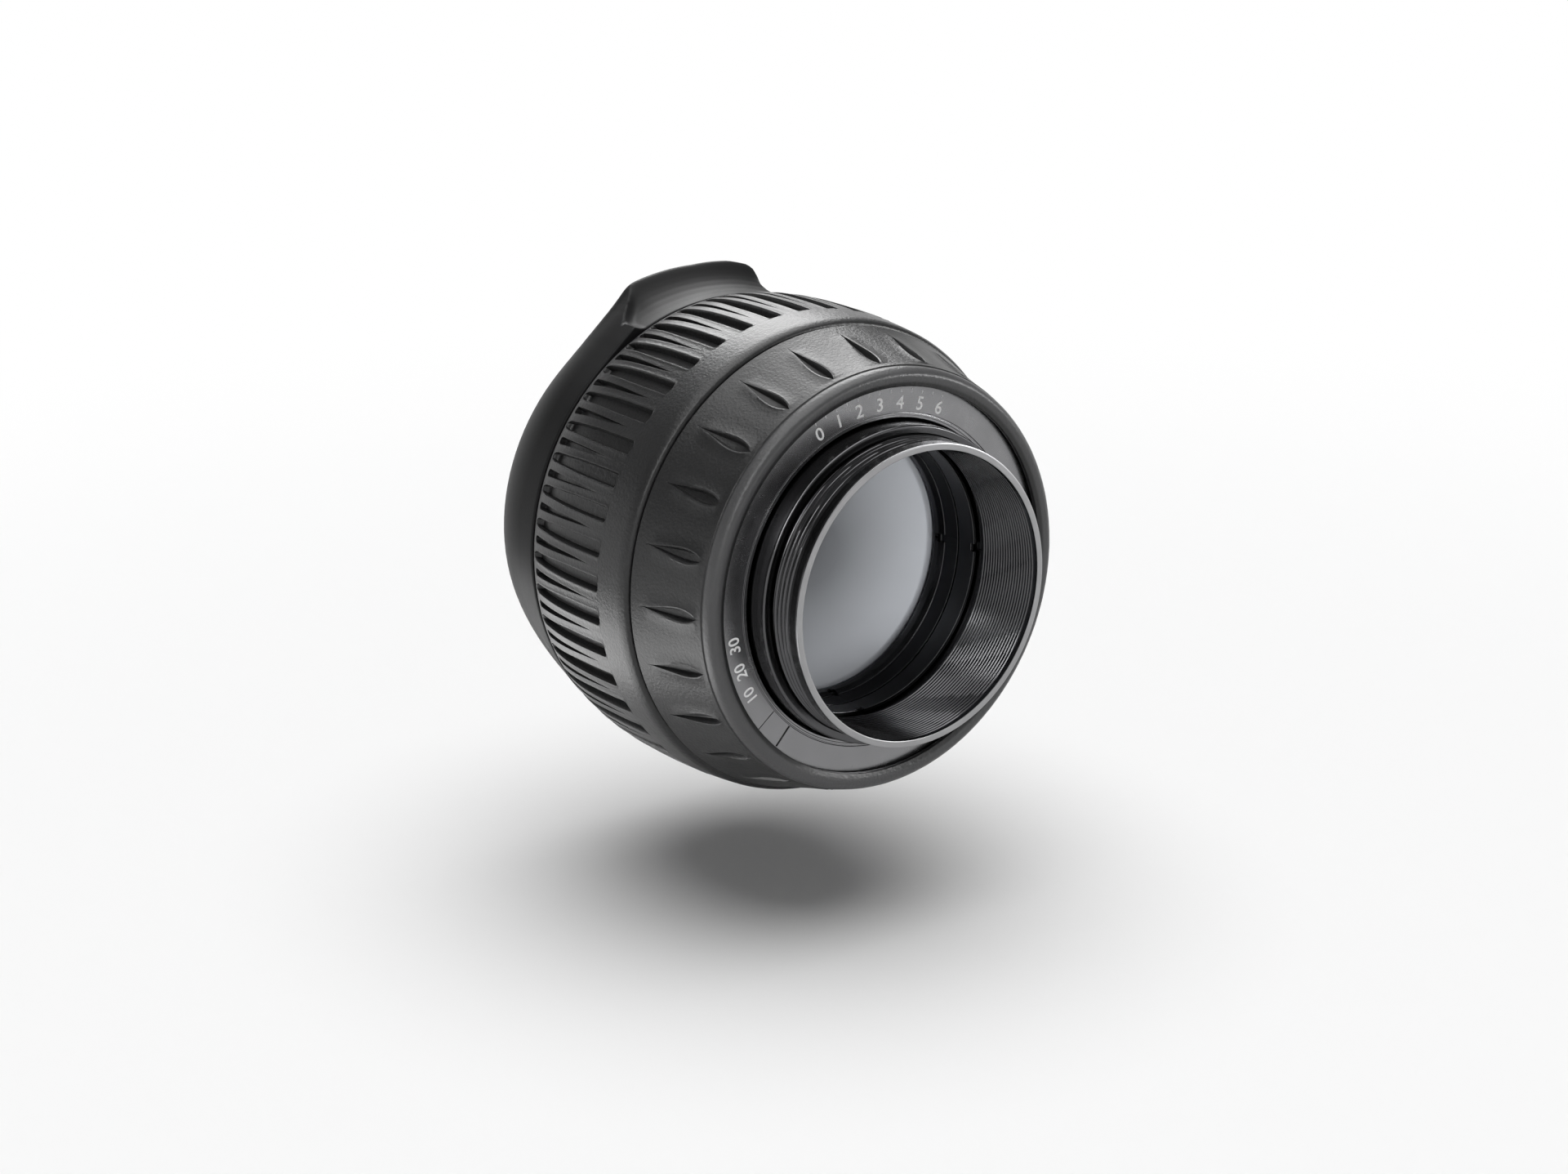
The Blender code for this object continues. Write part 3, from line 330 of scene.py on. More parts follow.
def add(name, mesh, slot, body, nodes=(), look=None):
    """A finished piece: its mesh with the slot's finish or another look, riding on a body and standing for
    its CAD nodes."""
    mesh.name = name
    mesh.materials.clear()
    mesh.materials.append(finish(look or slot))
    item = bpy.data.objects.new(name, mesh)
    bpy.context.scene.collection.objects.link(item)
    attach(item, body)
    if nodes:
        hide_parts(*nodes)
    return item


def lathe(rows, columns=160):
    """A profile of radius and place turned about the axis."""
    return place(rows[:, :1], angles(columns)[None], rows[:, 1:])


def joined(*parts):
    """Radii, places and part numbers of the rows of several parts, each as a column."""
    rows = np.concatenate(parts)
    return rows[:, :1], rows[:, 1:], np.repeat(range(len(parts)), [len(part) for part in parts])[:, None]


def around(radius, z, local, depth, times):
    """Points of a sector that repeats round the axis, from the angles inside the sector and the depths
    below the radius."""
    angle = (np.arange(times)[None, :, None] * TURN / times + local[:, None]).reshape(len(z), -1)
    return place(radius - np.tile(depth, times), angle, z)


# Shader maths
class Value:
    """A socket whose operators add Math nodes to its graph."""

    def __init__(self, graph, socket):
        self.graph = graph
        self.socket = socket

    def __add__(self, other):
        return self.graph.math("ADD", self, other)

    def __radd__(self, other):
        return self.graph.math("ADD", other, self)

    def __sub__(self, other):
        return self.graph.math("SUBTRACT", self, other)

    def __rsub__(self, other):
        return self.graph.math("SUBTRACT", other, self)

    def __mul__(self, other):
        return self.graph.math("MULTIPLY", self, other)

    def __rmul__(self, other):
        return self.graph.math("MULTIPLY", other, self)

    def __truediv__(self, other):
        return self.graph.math("DIVIDE", self, other)


class Graph:
    """The nodes of a material or of the world."""

    def __init__(self, tree):
        self.tree = tree

    def node(self, kind, settings=None, values=None):
        """One node: its settings first, then the values or links of its sockets."""
        made = self.tree.nodes.new(kind)
        for key, value in (settings or {}).items():
            if key == "stops":
                self.set_stops(made.color_ramp, value)
            else:
                setattr(made, key, value)
        for key, value in (values or {}).items():
            self.feed(made.inputs[key], value)
        return made

    def set_stops(self, ramp, stops):
        """A ramp's places and greys."""
        while len(ramp.elements) < len(stops):
            ramp.elements.new(0.5)
        for element, (position, grey) in zip(ramp.elements, stops):
            element.position = position
            element.color = (grey, grey, grey, 1.0)

    def feed(self, socket, value):
        """Sets a socket or links something to it."""
        if isinstance(value, Value):
            self.tree.links.new(value.socket, socket)
        elif isinstance(value, bpy.types.NodeSocket):
            self.tree.links.new(value, socket)
        else:
            socket.default_value = value

    def math(self, operation, first, second=0.0, clamp=False):
        """A Math node."""
        made = self.node("ShaderNodeMath", {"operation": operation, "use_clamp": clamp},
                         {0: first, 1: second})
        return Value(self, made.outputs[0])


class Finish(Graph):
    """A material under construction: a Principled shader and the nodes that feed it."""

    def __init__(self, name, **constants):
        self.material = bpy.data.materials.new("fine_" + name)
        self.material.use_nodes = True
        super().__init__(self.material.node_tree)
        self.shader = self.tree.nodes["Principled BSDF"]
        for socket, value in constants.items():
            self.shader.inputs[socket.replace("_", " ")].default_value = value
        self.coordinates = self.node("ShaderNodeTexCoord").outputs["Object"]

    def set(self, socket, value):
        """Feeds one of the shader's sockets."""
        self.feed(self.shader.inputs[socket], value)

    def noise(self, size, detail=2.0, roughness=0.5):
        """Noise from 0 to 1 whose features are about a size in millimetres."""
        made = self.node("ShaderNodeTexNoise", None, {
            "Vector": self.coordinates, "Scale": 1.0 / (size * MM), "Detail": detail, "Roughness": roughness})
        return Value(self, made.outputs["Fac"])

    def spots(self, size):
        """Distance to the nearest of scattered points about a size in millimetres apart."""
        made = self.node("ShaderNodeTexVoronoi", None, {
            "Vector": self.coordinates, "Scale": 1.0 / (size * MM)})
        return Value(self, made.outputs["Distance"])

    def radius(self, scale=(1.0 / MM, 0.0, 1.0 / MM)):
        """Distance from the optical axis, or with another scale from the upright, in millimetres."""
        flat = self.node("ShaderNodeVectorMath", {"operation": "MULTIPLY"}, {0: self.coordinates, 1: scale})
        size = self.node("ShaderNodeVectorMath", {"operation": "LENGTH"}, {0: flat.outputs[0]})
        return Value(self, size.outputs["Value"])

    def depth(self):
        """Place along the axis, in millimetres."""
        parts = self.node("ShaderNodeSeparateXYZ", None, {0: self.coordinates})
        return Value(self, parts.outputs["Y"]) * (1.0 / MM)

    def between(self, value, low, high):
        """0 below low and 1 above high, or the other way round where low is the higher."""
        made = self.node("ShaderNodeMapRange", {"interpolation_type": "SMOOTHSTEP"},
                         {0: value, 1: low, 2: high})
        return Value(self, made.outputs[0])

    def worn_rim(self):
        """Mask of the painted highlight: the band along the sleeve's rounded rim."""
        near = 1.0 - self.between(self.depth(), SLEEVE_Z + 1.25, SLEEVE_Z + 1.65)
        return near * self.between(self.radius(), LIP_RADIUS + 0.4, LIP_RADIUS + 0.8)

    def ramp(self, value, *stops):
        """A grey that follows a value, through stops of value and grey."""
        made = self.node("ShaderNodeValToRGB", {"stops": stops}, {0: value})
        return Value(self, made.outputs["Color"])

    def blend(self, factor, first, second):
        """A colour between two."""
        made = self.node("ShaderNodeMix", {"data_type": "RGBA"}, {0: factor, 6: first, 7: second})
        return made.outputs[2]

    def bump(self, height, distance):
        """Bumps of a height in millimetres on the shader's normal."""
        made = self.node("ShaderNodeBump", None, {"Height": height, "Distance": distance * MM})
        self.set("Normal", made.outputs[0])


def rgb(value, factor=1.0):
    """A colour setting as four numbers, lightened or darkened by a factor."""
    return (value[0] * factor, value[1] * factor, value[2] * factor, 1.0)


def rubber_finish(name, tone, grain, height, rough, gloss):
    """Moulded rubber: a fine pebbled grain, soft cloudy tone and a sheen that varies a little. On the
    sleeve's rubber a lighter band round the rim is a painted highlight.
    """
    made = Finish(name, Specular_IOR_Level=gloss)
    fine = made.noise(grain, 3.0, 0.6)
    pebbles = made.spots(1.6 * grain)
    cloud = made.noise(9.0, 3.0, 0.55)
    specks = made.ramp(made.noise(0.7 * grain, 1.0), (0.0, 0.0), (0.60, 0.0), (0.74, 1.0))
    light = made.math("ADD", 0.75 * cloud, 0.35 * specks, clamp=True)
    body = made.blend(light, rgb(tone, 0.85), rgb(tone, 1.6))
    if name == "rubber":
        # Painted highlight: the band along the rim is lightened to five times the rubber's tone.
        body = made.blend(made.worn_rim() * (0.75 + 0.25 * cloud), body, rgb(tone, 5.0))
    made.set("Base Color", body)
    made.set("Roughness", rough + 0.10 * (cloud - 0.5) + 0.10 * (fine - 0.5))
    made.bump(fine + 0.6 * pebbles, height)
    return made.material


def hard_finish(name, tone, rough, ring=0.0):
    """Metal with the faint rings that a tool leaves, rising and falling with the radius and the place along
    the axis, or without rings a paint or plastic. Both have cloudy wear in their gloss."""
    made = Finish(name, Metallic=1.0 if ring else 0.0, Specular_IOR_Level=0.5)
    cloud = made.noise(4.0, 3.0, 0.6)
    fine = made.noise(0.12, 2.0, 0.6)
    made.set("Base Color", made.blend(cloud, rgb(tone, 0.85), rgb(tone, 1.15)))
    made.set("Roughness", rough + 0.08 * (cloud - 0.5) + 0.05 * (fine - 0.5))
    if ring:
        phase = made.radius() * 40.0 + made.depth() * 40.0 + 1.5 * made.noise(0.3, 1.0)
        made.bump(0.5 * made.math("SINE", phase) + 0.02 * fine, ring)
    else:
        made.bump(fine, 0.002)
    return made.material


def finish(name):
    """A finish by name, made once."""
    made = bpy.data.materials.get("fine_" + name)
    if made:
        return made
    if name == "coated_glass":
        return glass_finish()
    c = colours()
    # Tone, size and height of the grain, roughness, gloss
    rubbers = {
        "rubber": (c.rubber, 0.28, 0.032, 0.36, 0.42),
        "cap_rubber": (c.cap, 0.20, 0.006, 0.46, 0.11),
        "seal_rubber": ((0.015, 0.015, 0.015), 0.2, 0.004, 0.6, 0.4),
    }
    # Tone, roughness, height of the rings
    hard = {
        "anodised_metal": (c.anodised, 0.22, 0.0008),
        "satin_metal": (c.satin, 0.26, 0.0008),
        "bare_metal": (c.bare, 0.36, 0.0012),
        "steel": (c.steel, 0.3, 0.0008),
        "slide_plastic": ((0.72, 0.71, 0.67), 0.45),
        "mark_paint": (c.marks, 0.5),
        "cut_line": (c.cuts, 0.6),
    }
    if name in rubbers:
        return rubber_finish(name, *rubbers[name])
    return hard_finish(name, *hard[name])


def glass_finish():
    """Coated germanium: a grey-blue mirror with a faint haze, slightly uneven coating, and a painted
    reflection that darkens it in the middle and lightens it towards the rim.
    """
    made = Finish("coated_glass", Metallic=0.9, Specular_IOR_Level=0.5)
    cloud = made.noise(11.0, 2.0, 0.5)
    # Painted reflection: the colour is dark in the middle and light towards the rim.
    painted_reflection = made.ramp(made.radius() / 22.0, (0.0, 0.0), (0.20, 0.10), (0.55, 0.62), (0.82, 1.0))
    tone = colours().glass
    made.set("Base Color", made.blend(0.9 * painted_reflection + 0.1 * cloud, rgb(tone, 0.27), rgb(tone)))
    made.set("Roughness", 0.26 + 0.05 * made.noise(6.0, 2.0))
    return made.material


# Distances in millimetres between which the floor whitens
WHITENS = (120.0, 380.0)


def floor_finish(pale):
    """Pale floor that keeps the shadow. Further out it turns plain white where it is seen or mirrored."""
    made = Finish("floor", Roughness=0.9, Specular_IOR_Level=0.0, Base_Color=(pale, pale, pale, 1.0))
    path = made.node("ShaderNodeLightPath").outputs
    seen = made.math("MAXIMUM", Value(made, path["Is Camera Ray"]), Value(made, path["Is Glossy Ray"]))
    seen = made.math("MAXIMUM", seen, Value(made, path["Is Transmission Ray"]))
    far = made.between(made.radius((1.0 / MM, 1.0 / MM, 0.0)), *WHITENS)
    white = made.node("ShaderNodeEmission", None, {"Color": (1.0, 1.0, 1.0, 1.0), "Strength": 1.0})
    mixed = made.node("ShaderNodeMixShader", None, {
        0: seen * far, 1: made.shader.outputs[0], 2: white.outputs[0]})
    made.feed(made.tree.nodes["Material Output"].inputs["Surface"], mixed.outputs[0])
    return made.material


# Metal pieces
def ridges(z, angle, pitch, crest=0.12):
    """A helix's teeth, from 0 on a crest to 1 in a root: the distance of z / pitch - angle / turn from its
    nearest whole number, doubled, with a flat on the crest."""
    phase = z / pitch - angle / TURN
    off = np.abs(phase - np.round(phase)) * 2
    return smooth((off - crest) / (0.92 - crest))


def tube_points(columns=192):
    """Tube: its profile turned about the axis, with the outer wall sunk by the thread's teeth between the
    plain band and the relief, and the bore's wall by the glare grooves. Both fade out at their ends."""
    s = sizes()
    thread_start, thread_end = RIM_Z + PLAIN_BAND, -THREAD_RELIEF
    bore_start, bore_end = RIM_Z + BORE_LEAD, GROOVED_BORE
    rim = run((TUBE_BORE, RIM_Z + 0.2, 0), (TUBE_BORE + 0.03, RIM_Z + 0.03, 3), (TUBE_BORE + 0.08, RIM_Z, 3),
              (THREAD_RADIUS - 0.12, RIM_Z, 5), (THREAD_RADIUS - 0.03, RIM_Z + 0.04, 3),
              (THREAD_RADIUS, RIM_Z + 0.16, 3), (THREAD_RADIUS, thread_start - 0.05, 4))
    thread_rows, bore_rows = 16, 18  # for each millimetre
    thread = run((THREAD_RADIUS, thread_start, 0),
                 (THREAD_RADIUS, thread_end, int((thread_end - thread_start) * thread_rows)))
    collar = run((THREAD_RADIUS - 0.06, thread_end + 0.08, 0), (RELIEF_RADIUS, thread_end + 0.14, 3),
                 (RELIEF_RADIUS, 0.14, 4), (RELIEF_RADIUS + 0.06, 0.2, 2), (THREAD_RADIUS, 0.2, 3),
                 (THREAD_RADIUS + 0.18, 0.0, 3), (THREAD_RADIUS + 0.26, 0.0, 2),
                 (COLLAR_RADIUS - 0.24, 0.0, 3),
                 (COLLAR_RADIUS - 0.16, 0.02, 2), (COLLAR_RADIUS - 0.02, 0.16, 3), (COLLAR_RADIUS, 0.24, 2),
                 (COLLAR_RADIUS, PLATE_Z, 4), (COLLAR_RADIUS, TUBE_END_Z, 3), (COUNTERBORE, TUBE_END_Z, 2),
                 (COUNTERBORE, bore_end + 0.05, 3), (COUNTERBORE - 0.05, bore_end, 2),
                 (TUBE_BORE + 0.05, bore_end, 2))
    bore = run((TUBE_BORE, bore_end - 0.05, 0),
               (TUBE_BORE, bore_start, int((bore_end - bore_start) * bore_rows)))
    radius, z, part = joined(rim, thread, collar, bore)
    angle = angles(columns)[None]
    fade = smooth((z - thread_start) / 0.25) * smooth((thread_end - z) / 0.2)
    sunk = s.thread_depth * ridges(z, angle, s.thread_pitch) * fade
    bore_fade = smooth((z - bore_start) / 0.3) * smooth((bore_end - z) / 0.2)
    grooves = s.groove_depth * ridges(z, angle, s.groove_pitch, 0.3) * bore_fade
    return place(radius - np.where(part == 1, sunk, 0.0) + np.where(part == 3, grooves, 0.0), angle, z)


def plate_rows():
    """The seat plate's outline, with a fine double step at its inner edge and one at its outer edge."""
    z = PLATE_Z
    inner, outer = PLATE_BORE, PLATE_RADIUS
    return outline([
        (inner, z + 0.22, 0.05), (inner + 0.12, z + 0.1, 0.03), (inner + 0.38, z + 0.1, 0.03),
        (inner + 0.40, z, 0.03), (inner + 0.62, z, 0.03), (inner + 0.66, z + 0.16, 0.03),
        (inner + 0.78, z + 0.16, 0.03), (inner + 0.84, z, 0.03), (outer - 0.12, z, 0.05),
        (outer, z + 0.12, 0.05), (outer, PLATE_END_Z, 0.06), (inner, PLATE_END_Z, 0.06),
    ])


def notched_ring(rows, at_radius, sink, wide=6, columns=168):
    """A turned ring with notches: inside them the rows on the near side lie deeper by the sink given for
    each row. Two columns stand close together at each edge of a notch."""
    half = NOTCH_WIDTH / 2 / at_radius
    middles = angles(NOTCHES)
    columns_in = np.concatenate([[-half - 0.002, half + 0.002], np.linspace(-half, half, wide)])
    even = angles(columns)

    def off(angle):
        """How far each angle lies from the nearest notch's middle."""
        return np.abs((angle[:, None] - middles[None] + pi) % TURN - pi).min(axis=1)

    fixed = (middles[:, None] + columns_in[None]).ravel() % TURN
    angle = np.sort(np.concatenate([even[off(even) > half + 0.01], fixed]))
    z = rows[:, 1:] + np.where(off(angle)[None] < half + 0.001, sink[:, None], 0.0)
    return place(rows[:, :1], angle[None], z)


def baffle_points():
    """Ring in the counterbore, its near face notched right across."""
    rows = outline([
        (INNER_BORE, BAFFLE_Z, 0.12), (TUBE_BORE + 0.35, BAFFLE_Z, 0.06),
        (TUBE_BORE + 0.35, BAFFLE_END_Z, 0.06), (INNER_BORE, BAFFLE_END_Z, 0.10),
    ])
    sink = np.where(rows[:, 1] < BAFFLE_Z + 0.4, NOTCH_DEPTH, 0.0)
    return notched_ring(rows, INNER_BORE, sink)


def rear_ring_points():
    """Ring over the rear element: a wide mouth, a chamfer and a narrow throat, slotted from the chamfer."""
    outer, step = REAR_LENS_RADIUS, (INNER_BORE + REAR_CLEAR_RADIUS) / 2
    step_z = REAR_RING_Z + REAR_RING_STEP
    rows = outline([
        (INNER_BORE, REAR_RING_Z, 0.06), (outer, REAR_RING_Z, 0.06), (outer, REAR_RING_END_Z, 0.06),
        (REAR_CLEAR_RADIUS, REAR_RING_END_Z, 0.05), (REAR_CLEAR_RADIUS, step_z + 0.8, 0.08),
        (step, step_z, 0.05), (step + 0.1, step_z - 0.02, 0.03),
    ])
    on_step = (np.abs(rows[:, 1] - step_z) < 0.9) & (rows[:, 0] < step + 0.2)
    sink = np.where(on_step, SLOT_DEPTH, 0.0)
    sink = np.minimum(sink, np.maximum(REAR_RING_END_Z - 0.3 - rows[:, 1], 0.0))
    return notched_ring(rows, REAR_CLEAR_RADIUS, sink)


def lens_rows(radius, clear, near_z, edge, curves, steps=22):
    """Half section of a meniscus, from near its near pole over its rim to near its far pole. Each face falls
    from its vertex by curve - sqrt(curve^2 - radius^2), inside a flat rim with broken edges."""
    span = np.linspace(0.02, 1.0, steps) * clear
    far_z = near_z + edge

    def face(z, curve):
        def sag(r):
            return curve - np.sqrt(curve * curve - r * r)

        return np.stack([span, z + sag(clear) - sag(span)], axis=1)

    rim = run((clear + 0.05, near_z, 0), (radius - 0.12, near_z, 3), (radius, near_z + 0.12, 2),
              (radius, far_z - 0.12, 3), (radius - 0.12, far_z, 2), (clear + 0.05, far_z, 3))
    return np.concatenate([face(near_z, curves[0]), rim, face(far_z, curves[1])[::-1]])


# Rubber pieces
def cone_radius(z):
    """The sleeve's cone: its radius grows with the share of the way by 0.8 t + 0.2 t^2."""
    t = (z - ROOT_Z) / (SHOULDER_Z - ROOT_Z)
    return CONE_ROOT + (SLEEVE_END_RADIUS - CONE_ROOT) * (0.8 * t + 0.2 * t * t)


def sleeve_points():
    """Sleeve: a rounded rim over the plate's edge, a crease and a cone. The columns gather on the dimples:
    in each sector they run across the leaf, whose half width is sin(pi t^0.59)^1.5 along its length, and
    the surface sinks steeply from two low lips to a flat floor."""
    s = sizes()
    crest = LIP_RADIUS + 1.3
    t = np.linspace(0.0, 1.0, 12)[:, None] * pi / 2
    rim = np.hstack([crest + (RIM_ROOT - crest) * np.sin(t), SLEEVE_Z + 1.6 * (1 - np.cos(t))])
    cone_z = np.concatenate([ROOT_Z + np.array([0.02, 0.08, 0.2, 0.4]),
                             np.linspace(ROOT_Z + 0.65, SHOULDER_Z - 0.35, 66),
                             SHOULDER_Z - np.array([0.2, 0.12])])[:, None]
    cone = np.hstack([cone_radius(cone_z), cone_z])
    back = run((SLEEVE_END_RADIUS - 0.06, SHOULDER_Z - 0.05, 0), (SLEEVE_END_RADIUS - 0.2, SHOULDER_Z, 2),
               (SLEEVE_END_RADIUS - SLEEVE_WALL, SHOULDER_Z, 3),
               (SLEEVE_END_RADIUS - SLEEVE_WALL, SHOULDER_Z - 1.0, 2),
               (PLATE_RADIUS + 0.3, PLATE_END_Z + 0.5, 4), (PLATE_RADIUS + 0.3, PLATE_Z - 0.3, 3),
               (LIP_RADIUS + 0.1, PLATE_Z - 0.3, 3), (LIP_RADIUS, PLATE_Z - 0.4, 2),
               (LIP_RADIUS, PLATE_Z - 0.85, 3), (LIP_RADIUS + 0.06, PLATE_Z - 0.97, 2),
               (LIP_RADIUS + 0.2, PLATE_Z - 1.03, 2), (LIP_RADIUS + 0.7, SLEEVE_Z + 0.08, 3))
    radius, z, part = joined(rim, cone, back)
    t = np.clip((z - SLEEVE_Z - LEAF_START) / LEAF_LENGTH, 0.0, 1.0)
    leaf = np.where(part == 1, np.sin(pi * t ** 0.59) ** 1.5, 0.0)
    half = np.maximum(leaf * s.dimple_width / 2, 0.03) / radius
    sector = TURN / s.dimple_count
    u = np.array([0.0, 0.3, 0.52, 0.62, 0.70, 0.78, 0.86, 0.93, 1.0])
    u = np.concatenate([-u[:0:-1], u])[None]
    land = np.array([0.03, 0.08, 0.3, 0.5, 0.7, 0.92, 0.97])[None]
    local = np.hstack([u * half, half + land * (sector - 2 * half)])
    sunk = s.dimple_depth * leaf ** 0.8 * smooth((0.97 - np.abs(u)) / 0.42)
    lip = DIMPLE_LIP * smooth(4 * leaf)
    raised = np.where(np.abs(u) > 0.98, 0.7, 0.0)
    edge = np.array([1.0, 0.15, 0.0, 0.0, 0.0, 0.15, 1.0])[None]
    sunk = np.hstack([sunk - lip * raised, -lip * edge])
    return around(radius, z, local, sunk, s.dimple_count)


def grip_radius(z):
    """The grip's outer radius: it falls from its peak with the 2.5th power of the distance."""
    peak = RING_Z + 0.6 * (GRIP_END_Z - RING_Z)
    near = np.clip((peak - z) / (peak - RING_Z), 0.0, 1.0) ** 2.5
    far = np.clip((z - peak) / (GRIP_END_Z - peak), 0.0, 1.0) ** 2.5
    return GRIP_RADIUS - GRIP_FALLS[0] * near - GRIP_FALLS[1] * far


def grip_points():
    """Ribbed grip: each group of columns crosses a pocket, a land, a slit and a land. The pocket's half
    width is square with round corners at its near end and shrinks to a round tip; its floor rises from
    its square end to its tip. The slit widens from a point. The lands rise in low lips along both."""
    s = sizes()
    near_z, far_z = RING_Z + POCKET_SPAN[0], GRIP_END_Z - POCKET_SPAN[1]
    slit_z, slit_end = RING_Z + SLIT_SPAN[0], GRIP_END_Z - SLIT_SPAN[1]
    steps = np.array([-0.16, -0.08, 0.0, 0.04, 0.08, 0.13, 0.2, 0.3, 0.42, 0.6])
    body_z = np.concatenate([
        RING_Z + np.array([0.9, 1.6, 3.0, 4.7]), near_z + steps,
        np.linspace(near_z + 1.0, slit_z - 0.3, 3), np.linspace(slit_z, far_z - 1.6, 11),
        far_z - np.array([1.2, 0.9, 0.65, 0.45, 0.3, 0.18, 0.08, 0.0]),
        [GRIP_END_Z - 0.45],
    ])[:, None]
    body = np.hstack([grip_radius(body_z), body_z])
    turn = np.linspace(0.0, 1.0, 6)[:-1, None] * pi / 2
    start_radius = float(grip_radius(RING_Z))
    near = np.hstack([start_radius - GRIP_ROUND * (1 - np.sin(turn)),
                      RING_Z + GRIP_ROUND * (1 - np.cos(turn))])
    end_radius = float(grip_radius(GRIP_END_Z))
    back = np.array([[end_radius - 0.02, GRIP_END_Z - 0.2], [end_radius - 0.12, GRIP_END_Z - 0.05],
                     [end_radius - 0.3, GRIP_END_Z], [GRIP_BORE + 0.1, GRIP_END_Z],
                     [GRIP_BORE, GRIP_END_Z - 0.1], [GRIP_BORE, RING_Z + 0.1], [GRIP_BORE + 0.1, RING_Z],
                     [start_radius - 0.9, RING_Z]])
    radius, z, part = joined(near, body, back)
    on_body = part == 1
    corner = np.clip((z - near_z) / 0.4, 0.0, 1.0)
    square = (1 - (1 - corner) ** 2.5) ** 0.4
    tip = np.clip((far_z - z) / 1.3, 0.0, 1.0)
    taper = 1 - 0.30 * smooth((z - near_z - 6.0) / 10.0)
    wide = square * taper * np.sqrt(1 - (1 - tip) ** 2)
    half = np.maximum(np.where(on_body, wide, 0.0) * s.pocket_width / 2, 0.02) / radius
    t = np.clip((z - near_z) / (far_z - near_z), 0.0, 1.0)
    floor = s.pocket_depth * (1 - 0.25 * t) * smooth((z - near_z) / 0.24) * smooth((far_z - z) / 0.6)
    grow = np.clip((z - slit_z) / (slit_end - slit_z), 0.0, 1.0)
    slit_tip = np.clip((slit_end - z) / 0.4, 0.0, 1.0)
    slit_wide = np.where(on_body, grow ** 0.8 * np.sqrt(1 - (1 - slit_tip) ** 2), 0.0)
    slit_half = np.maximum(slit_wide * s.slit_width / 2, 0.01) / radius
    slit_floor = s.slit_depth * smooth(grow * 2.5) * smooth((slit_end - z) / 0.3)
    group = TURN / s.rib_count
    u = np.array([0.0, 0.45, 0.7, 0.76, 0.82, 0.88, 0.94, 1.0])
    u = np.concatenate([-u[:0:-1], u[1:]])[None]
    v = np.array([-1.0, -0.85, -0.7, 0.7, 0.85, 1.0])[None]
    land = np.array([0.09, 0.2, 0.5, 0.8, 0.91])[None]
    gap = group / 2 - half - slit_half
    local = np.hstack([u * half, half + land * gap, group / 2 + v * slit_half,
                       group / 2 + slit_half + land * gap])
    lip = GRIP_LIP * smooth(10.0 * half * radius) * on_body
    pocket = floor * smooth((0.97 - np.abs(u)) / 0.22) - 0.6 * lip * (np.abs(u) > 0.98)
    ledge = lip * np.array([1.0, 0.35, 0.0, 0.05, 0.2])[None]
    slit = slit_floor * smooth((1 - np.abs(v)) / 0.3)
    depth = np.hstack([pocket, -ledge, slit, -ledge[:, ::-1]])
    return around(radius, z, local, depth, s.rib_count)


# The tab's height round its flanks, against the angle from the top, left and right of it
TAB_ANGLES = [0.0, 5.0, 10.0, 15.0, 16.0, 17.0, 18.0, 19.0, 20.0, 22.0, 24.0, 27.0, 30.0, 34.0, 38.0, 42.0]
TAB_LIFTS = [1.0, 1.0, 1.0, 1.0, 0.99, 0.965, 0.91, 0.83, 0.745, 0.60, 0.48, 0.34, 0.225, 0.10, 0.025, 0.0]
TAB_RIGHT_LIFTS = [1.0, 1.06, 1.11, 1.08, 1.04, 0.97, 0.76, 0.22, 0.02, *[0.0] * 7]


